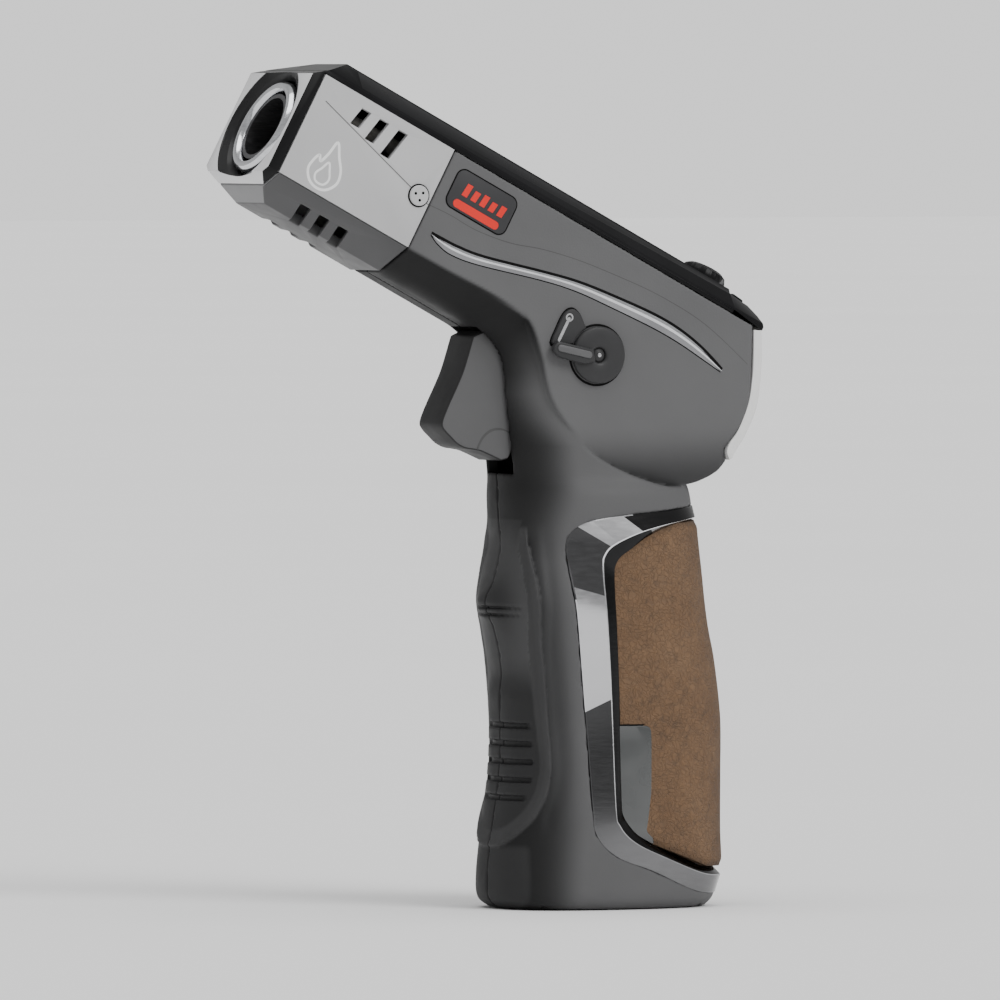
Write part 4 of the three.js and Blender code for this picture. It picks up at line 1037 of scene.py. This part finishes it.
def make_frames():
    """Polished frames round the leather, each with its fuel window."""
    for name, side in (("left", -1), ("right", 1)):
        place = place_on_grip(side)
        piece = swept(f"frame_{name}_fine", FRAME_OUTER, FRAME_INNER, FRAME_SECTION, place, 10, 22)
        paint_frame_reflections(piece)
        finish_piece(piece, "chrome_painted_reflection", "chrome", f"grip_frame_{name}")
        make_window(name, side)


def paint_frame_reflections(piece):
    """Painted reflections on the polished frame: bright and dark fields, one tone for each facet of its
    section.
    """
    n = len(FRAME_SECTION)
    light_and_shade = []
    for number, face in enumerate(piece.data.polygons):
        x, _, z = face.center / MM
        facet, tilt = number % n, z - 0.45 * (x + 7)
        if facet >= 4:
            tone = 0.3 if x > 5 and z > 30 else 0.03
        elif facet == 3:
            tone = 1.0
        elif 36 < tilt < 57 or (z > 67 and -9.5 < x < 0.5):
            tone = 0.75 if z < 66 else 1.0
        elif z > 57:
            tone = 0.04 if x > 0 else 0.16
        else:
            tone = 0.08 + 0.14 * step_between(22, 8, z)
        light_and_shade.append(tone)
    set_painted_light(piece, light_and_shade, "FACE")


WINDOW_FRONT = [(-1.6, 32.9), (-1.6, 32.0), (-1.6, 30.4), (-1.6, 26), (-1.4, 20), (-0.9, 16.6),
                (1.5, 13.6), (4.4, 11.9)]
WINDOW_REAR = [(3.6, 32.9), (4.6, 32.4), (5.0, 31.2), (5.05, 26), (5.05, 20), (5.05, 16), (5.05, 13.6),
               (5.05, 11.6)]


def make_window(name, side):
    place = place_on_grip(side)
    rim = swept(f"window_rim_{name}", moved(WINDOW_FRONT, 0, 0.28), moved(WINDOW_REAR, 0.25, 0.28),
                [(0, -2.0), (0, -0.98), (1, -0.88), (1, -2.0)], place, 6, 30)
    finish_piece(rim, "line", "smoke")
    pane = swept(f"window_{name}_fine", WINDOW_FRONT, WINDOW_REAR,
                 [(0, -1.9), (0, -0.9), (0.5, -0.82), (0.93, -0.72), (1, -0.8), (1, -1.9)], place, 6, 30)
    finish_piece(pane, "smoke", "smoke", f"fuel_window_{name}")


# ---- trim on the head --------------------------------------------------------------------------

INLAY_TOP = [(-38.4, 121.5), (-36.6, 120.6), (-33.2, 119.0), (-27.9, 117.15), (-16.1, 114.4),
             (-8.9, 112.5), (-1.3, 109.7),
             (6.4, 106.5), (11.5, 103.7), (15.9, 100.4), (19.8, 96.6)]
INLAY_LOW = [(-38.3, 121.3), (-36.9, 119.6), (-34.3, 117.75), (-28.8, 115.9), (-16.3, 113.1),
             (-9.2, 111.0), (-1.8, 107.9),
             (5.8, 104.5), (10.8, 101.9), (15.2, 99.2), (19.6, 96.4)]
PARTING = [(-40.9, 127.6), (-38.8, 126.8), (-34.5, 124.9), (-29.4, 122.2), (-22.7, 119.9), (-16.1, 118.7),
           (-8.9, 116.7),
           (-1.3, 113.9), (6.4, 110.7), (14.1, 106.6), (19.2, 102.9), (25, 97.8)]


def moved(points, dx, dz):
    return [(x + dx, z + dz) for x, z in points]


def share_between(one, two, share):
    """A line between two matching ones, a share of the way from the first to the second."""
    return [tuple(p * (1 - share) + q * share for p, q in zip(a, b)) for a, b in zip(one, two)]


def make_inlays():
    """Bright spear-shaped inlays and the fine parting line above them."""
    for name, side in (("left", -1), ("right", 1)):
        place = place_on_face(side)
        seam = moved(PARTING, 0, -0.14)
        raised(f"parting_{name}", PARTING, seam, 0.012, place, "seam_dark", "dark_shell", 6)
        raised(f"inlay_edge_{name}", moved(INLAY_TOP, 0.25, 0.45), moved(INLAY_LOW, -0.1, -0.15), 0.015,
               place, "line",
                      "chrome", 6)
        blade = swept(f"spear_{name}_fine", INLAY_TOP, share_between(INLAY_TOP, INLAY_LOW, 0.98),
                      [(0, -0.3), (0, 0.05), (0.28, 0.32), (0.52, 0.3), (1, 0.04), (1, -0.3)], place, 6, 20)
        finish_piece(blade, "chrome", "chrome", f"spear_inlay_{name}")
        blade.data.materials.append(MAT["inlay_shade"])
        for i, face in enumerate(blade.data.polygons):
            face.material_index = 1 if i % 6 in (3, 4) else 0


BADGE = SimpleNamespace(u=40.3, h=5.3, length=13.0, height=7.2, corner=1.5)


def badge_outline(grow):
    length, height, r = BADGE.length / 2 + grow, BADGE.height / 2 + grow, BADGE.corner + grow
    points = []
    for cx, cz, start in ((length - r, height - r, 0), (r - length, height - r, 90),
                          (r - length, r - height, 180),
                          (length - r, r - height, 270)):
        for k in range(9):
            a = math.radians(start + 90 * k / 8)
            points.append((BADGE.u + cx + r * math.cos(a), BADGE.h + cz + r * math.sin(a)))
    return points


def make_badges():
    """Black badge plates with a plain motif of red bars."""
    for name, side in (("left", -1), ("right", 1)):
        def slab(label, outline, low, high, material, *nodes):
            levels = sorted((side * (FACE + low), side * (FACE + high)))
            piece = side_prism(f"{label}_{name}", outline, *levels, BARREL)
            return finish_piece(piece, material, "badge", *nodes)
        slab("badge_rim", badge_outline(0.25), -0.4, 0.03, "line")
        plate = slab("badge_fine", badge_outline(0), -0.5, 0.14, "badge", f"badge_{name}")
        rounded(plate, 0.06, 2)
        u, h = BADGE.u, BADGE.h
        foot = h - 0.75
        for i, tall in enumerate((2.4, 1.95, 2.2, 1.8, 2.05)):
            at = u - 4.2 + i * 1.95
            bar = [(at, foot), (at + 1.15, foot), (at + 1.45, foot + tall), (at + 0.3, foot + tall)]
            slab(f"badge_bar_{i}", bar, 0.1, 0.19, "red")
        slab("badge_underline", pill_outline((u - 4.3, h - 2.5), (u + 4.2, h - 2.5), 0.75, 12), 0.1, 0.19,
             "red")


def make_trim():
    """Off-white trim down the back of the head."""
    inner = [(26.4, 103.9), (26.35, 99), (26.1, 95), (25.3, 90.6), (23.3, 85.9), (21.6, 83.6),
             (21.0, 82.0), (21.5, 80.5)]
    outer = [(28.15, 103.7), (28.2, 99), (27.95, 94.7), (27.1, 89.6), (25.0, 85.1), (23.6, 83.0),
             (22.8, 81.8), (22.2, 81.0)]
    half = [(0, -12.9), (0.5, -13.0), (0.8, -12.9), (1, -12.4)]
    section = half + [(share, -y) for share, y in reversed(half)]
    trim = swept("trim_fine", inner, outer, section, place_on_face(1, 0), 8, 35)
    finish_piece(trim, "white", "white_plastic", "rear_trim")


# ---- controls ----------------------------------------------------------------------------------


def across_y(name, profile, sides=72, closed=False):
    """Turned piece on the dial's axis; the profile says how far each ring stands out."""
    centre = (DIAL_AT.x, 0, DIAL_AT.z)
    return lathe(name, [(r, -out) for r, out in profile], "y", centre, sides, PLAIN, closed)


def make_dial():
    """Lock dial with its lever, rib and pin."""
    disc = across_y("dial_fine", [(1.35, 13.32), (5.0, 13.32), (5.15, 13.5), (5.15, 13.95), (5.0, 14.15),
                                  (4.75, 14.25),
                                  (1.9, 14.25), (1.5, 14.1), (1.35, 13.9)], closed=True)
    arm = [(-1.6, 1.05), (-8.0, 2.45), (-8.9, 2.35), (-9.5, 1.7), (-9.55, 0.9), (-9.0, 0.2), (-8.2, -0.35),
           (-3.5, -1.55), (-1.2, -1.2)]
    lever = side_prism("lever", [(DIAL_AT.x + x, DIAL_AT.z + z) for x, z in arm], -15.1, -13.84)
    rounded(lever, 0.25, 3)
    merge(disc, lever)
    rounded(disc, 0.06, 1, 50)
    finish_piece(disc, "black", "black_plastic", "lock_dial", body="dial")
    rib = pill_outline((DIAL_AT.x - 8.2, DIAL_AT.z + 1.35), (DIAL_AT.x - 2.6, DIAL_AT.z + 0.1), 0.62)
    bar = side_prism("dial_rib", rib, -15.35, -15.0)
    rounded(bar, 0.12, 2)
    finish_piece(bar, "rail_light", "black_plastic", body="dial")
    pin = across_y("pin_fine", [(0, 7), (1.2, 7), (1.2, 13.7), (0.95, 13.95), (0.5, 14.08), (0, 14.1)])
    finish_piece(pin, "black", "steel", "lock_pin", body="dial")
    glint = across_y("pin_glint", [(0, 13.9), (0.42, 13.9), (0.36, 14.2), (0, 14.28)], sides=24)
    finish_piece(glint, "steel", "steel", body="dial")
    rim = across_y("dial_rim", [(5.2, 12.8), (5.6, 12.8), (5.6, 13.02), (5.2, 13.02)], closed=True)
    finish_piece(rim, "line", "dark_shell")
    make_lock_wedge()


def make_lock_wedge():
    """Fixed wedge above the lever with its keyhole groove, part of the left shell."""
    outline = curve_through([(-14.3, 101.6), (-13.4, 104.6), (-11.9, 107.2), (-10.3, 107.9), (-8.9, 106.9),
                             (-7.9, 104.9),
                             (-7.0, 103.0), (-9.5, 101.8)], 4, True)
    wedge = side_prism("lock_wedge", outline, -13.75, -12.5)
    dial_room = [(0, 12), (5.4, 12), (5.4, 14), (0, 14)]
    cut(wedge, across_y("dial_room", dial_room))
    rounded(wedge, 0.3, 3)
    finish_piece(wedge, "shell_dark", "dark_shell")
    wider = [(x + (x + 10.8) * 0.09, z + (z - 104.5) * 0.09) for x, z in outline]
    edge = side_prism("lock_wedge_rim", wider, -13.02, -12.5)
    cut(edge, across_y("rim_room", dial_room))
    finish_piece(edge, "line", "dark_shell")
    groove = pill_outline((-13.2, 102.4), (-11.2, 106.2), 0.28)
    mark = side_prism("lock_groove", groove, -13.78, -13.5)
    finish_piece(mark, "steel", "dark_shell")
    eye = lathe("lock_eye", [(0, -13.5), (0.75, -13.5), (0.75, -13.765), (0.45, -13.765), (0.45, -13.6),
                             (0, -13.6)], "y",
                (-11.1, 0, 106.4), 24)
    finish_piece(eye, "steel", "dark_shell")


def make_knob():
    """Knurled flame knob with a painted ring highlight on its near side, and the stop block behind it."""
    top = 18.75
    shaft = lathe("knob_fine", [(0, 4), (1.6, 4), (1.6, 16.2), (4.3, 16.4), (4.35, 17.2), (4.0, 18.0),
                                (3.2, 18.5), (2.0, top - 0.05),
                                (0, top)], "z", (KNOB_U, 0, 0), 72, BARREL)
    teeth = 24
    for vertex in shaft.data.vertices:
        at = BARREL.inverted() @ vertex.co
        around = Vector((at.x - KNOB_U, at.y))
        if around.length > 3.9 and at.z < 18.2:
            angle = math.atan2(around.y, around.x)
            shrink = 1 - 0.035 * (0.5 + 0.5 * math.cos(teeth * angle))
            vertex.co = BARREL @ Vector((KNOB_U + around.x * shrink, around.y * shrink, at.z))
    finish_piece(shaft, "rail", "black_plastic", "flame_knob", body="knob")
    # a lighter ring on the knob's near side: a painted highlight
    mark = lathe("knob_ring_highlight", [(0.9, 16.9), (1.35, 16.9), (1.35, 17.2), (0.9, 17.2)], "z", (0, 0, 0), 32,
                 PLAIN, True)
    tilt = Matrix.Translation((KNOB_U + 1.2, -3.4, 17.2)) @ Matrix.Rotation(math.radians(62), 4, "X")
    mark.data.transform(BARREL @ tilt @ Matrix.Translation((0, 0, -17.0)) @ Matrix.Scale(1 / MM, 4))
    finish_piece(mark, "rail_light", "black_plastic", body="knob")
    foot = RAIL_STEP.high - 0.05
    stop = side_prism("stop_fine", [(95.9, foot), (95.9, foot + 0.9), (96.6, foot + 1.35),
                                    (98.9, foot + 1.15), (99.3, foot - 0.3)],
                      -4.6, 4.6, BARREL)
    rounded(stop, 0.25, 3)
    finish_piece(stop, "rail", "gloss_black", "knob_stop")


TRIGGER_HALF = 4.8
TRIGGER_LINE = [(-26.0, 103.0), (-27.0, 99.8), (-28.1, 96.6), (-29.5, 93.6), (-31.2, 90.2), (-32.25, 87.5),
                (-31.8, 86.2),
                (-30.4, 84.8), (-29.2, 83.7), (-27.6, 82.9), (-25.8, 82.6), (-24.1, 82.2), (-20.4, 80.6)]


def make_trigger():
    """Trigger with a fine arc on both sides."""
    front = [tuple(p) for p in curve_through(TRIGGER_LINE, 3)]
    outline = front + [(-18.9, 80.9), (-10.4, 97.0), (-23.6, 104.0)]
    trigger = side_prism("trigger_fine", outline, -TRIGGER_HALF, TRIGGER_HALF)
    rounded(trigger, 0.45, 3, 40)
    # painted shade: the flat sides keep most of their tone, the faces round them are darker
    set_painted_light(trigger, [0.92 if abs(f.normal.y) > 0.75 else 0.3 for f in trigger.data.polygons], "FACE")
    finish_piece(trigger, "shell", "black_plastic", "trigger", body="trigger")
    arc = [(-25.3, 83.0), (-24.2, 85.0), (-22.4, 86.3), (-20.2, 86.4), (-18.2, 85.4)]
    for side in (-1, 1):
        band = swept(f"trigger_arc_{side + 1}", arc, moved(arc, 0.25, -0.4),
                     [(0, -0.3), (0, 0.015), (1, 0.015), (1, -0.3)], place_on_face(side, TRIGGER_HALF), 6)
        finish_piece(band, "seam_dark", "black_plastic", body="trigger")


# ---- everything else ---------------------------------------------------------------------------

CARRIED = {
    "burner_tube": "dark_steel", "flame_disc": "brass", "mixing_tube": "brass", "jet_nozzle": "brass",
    "burner_bracket": "steel", "electrode_insulator": "ceramic", "spark_electrode": "steel",
    "gas_tube": "rubber",
    "ignition_lead": "wire", "piezo_casing": "black", "piezo_plunger": "white", "trigger_spring": "steel",
    "gas_lever": "steel", "lever_pin": "steel", "fuel_tank": "clear", "tank_cap": "clear",
    "fuel_wick": "felt",
    "outlet_valve": "brass", "valve_stem": "brass", "valve_seal": "rubber", "refill_valve": "brass",
    "refill_stem": "brass", "refill_spring": "steel", "base_cover": "black", "housing_screw_head": "steel",
    "housing_screw_lobe": "steel", "base_screw": "steel"}


def dress_carried():
    """Materials for the CAD nodes that are shown as they are."""
    for node, material in CARRIED.items():
        mesh = frame["nodes"][node].data
        mesh.materials.clear()
        mesh.materials.append(MAT[material])
        shade(frame["nodes"][node], 35)


# ---- stage, light and camera -------------------------------------------------------------------


def make_stage():
    """Pale floor and backdrop."""
    size = 12.0
    floor = build("floor", [(-size, -size, 0), (size, -size, 0), (size, size, 0), (-size, size, 0)],
                  [(0, 1, 2, 3)],
                  Matrix.Translation((0, 0, -0.0002)))
    material, tree, shader = new_material("floor")
    tone = ramp(tree, noise(tree, 3, 2).outputs["Fac"], [(0.3, grey(0.93)), (0.7, grey(0.95))])
    tree.links.new(tone.outputs["Color"], shader.inputs["Base Color"])
    shader.inputs["Roughness"].default_value = 0.8
    floor.data.materials.append(material)
    make_world()


def make_world():
    """A white backdrop for the eye, and a studio for light and reflections: bright above, dark below."""
    world = bpy.data.worlds.new("studio")
    bpy.context.scene.world = world
    world.use_nodes = True
    tree = world.node_tree
    coords = tree.nodes.new("ShaderNodeTexCoord")
    split = tree.nodes.new("ShaderNodeSeparateXYZ")
    tree.links.new(coords.outputs["Generated"], split.inputs["Vector"])
    half = tree.nodes.new("ShaderNodeMath")
    half.operation = "MULTIPLY_ADD"
    half.inputs[1].default_value = 0.5
    half.inputs[2].default_value = 0.5
    tree.links.new(split.outputs["Z"], half.inputs[0])
    band = ramp(tree, half.outputs["Value"], [(0.0, grey(0.15)), (0.46, grey(0.2)), (0.5, grey(0.3)),
                                              (0.62, grey(0.6)),
                                              (0.8, grey(0.4)), (1.0, grey(0.6))])
    studio = tree.nodes["Background"]
    tree.links.new(band.outputs["Color"], studio.inputs["Color"])
    studio.inputs["Strength"].default_value = 1.0
    backdrop = tree.nodes.new("ShaderNodeBackground")
    backdrop.inputs["Color"].default_value = (1, 1, 1, 1)
    backdrop.inputs["Strength"].default_value = 1.1
    path = tree.nodes.new("ShaderNodeLightPath")
    mix = tree.nodes.new("ShaderNodeMixShader")
    tree.links.new(path.outputs["Is Camera Ray"], mix.inputs["Fac"])
    tree.links.new(studio.outputs["Background"], mix.inputs[1])
    tree.links.new(backdrop.outputs["Background"], mix.inputs[2])
    tree.links.new(mix.outputs["Shader"], tree.nodes["World Output"].inputs["Surface"])


def sun(name, toward, strength, spread):
    data = bpy.data.lights.new(name, "SUN")
    data.energy = strength
    data.angle = math.radians(spread)
    lamp = bpy.data.objects.new(name, data)
    bpy.context.scene.collection.objects.link(lamp)
    lamp.rotation_euler = Vector(toward).to_track_quat("-Z", "Y").to_euler()


def make_lights():
    sun("key", (-0.35, 0.75, -0.6), 1.7, 30)
    sun("top", (0.1, 0.1, -1.0), 1.5, 50)


CAMERA = SimpleNamespace(azimuth=-26.0, elevation=1.5, distance=3.0, width=0.18, aim=(-0.0183, 0, 0.0734))


def make_camera():
    c = CAMERA
    data = bpy.data.cameras.new("camera")
    data.sensor_width = 36
    data.lens = 36 * c.distance / c.width
    data.clip_end = 20
    camera = bpy.data.objects.new("camera", data)
    bpy.context.scene.collection.objects.link(camera)
    a, e = math.radians(c.azimuth), math.radians(c.elevation)
    away = Vector((math.sin(a) * math.cos(e), -math.cos(a) * math.cos(e), math.sin(e)))
    camera.location = Vector(c.aim) + away * c.distance
    camera.rotation_euler = (-away).to_track_quat("-Z", "Y").to_euler()
    bpy.context.scene.camera = camera


def main():
    make_camera()
    make_stage()
    make_lights()
    make_materials()
    make_shells()
    make_rail()
    make_panels()
    make_front()
    make_leather()
    make_frames()
    make_inlays()
    make_badges()
    make_trim()
    make_dial()
    make_knob()
    make_trigger()
    dress_carried()


main()
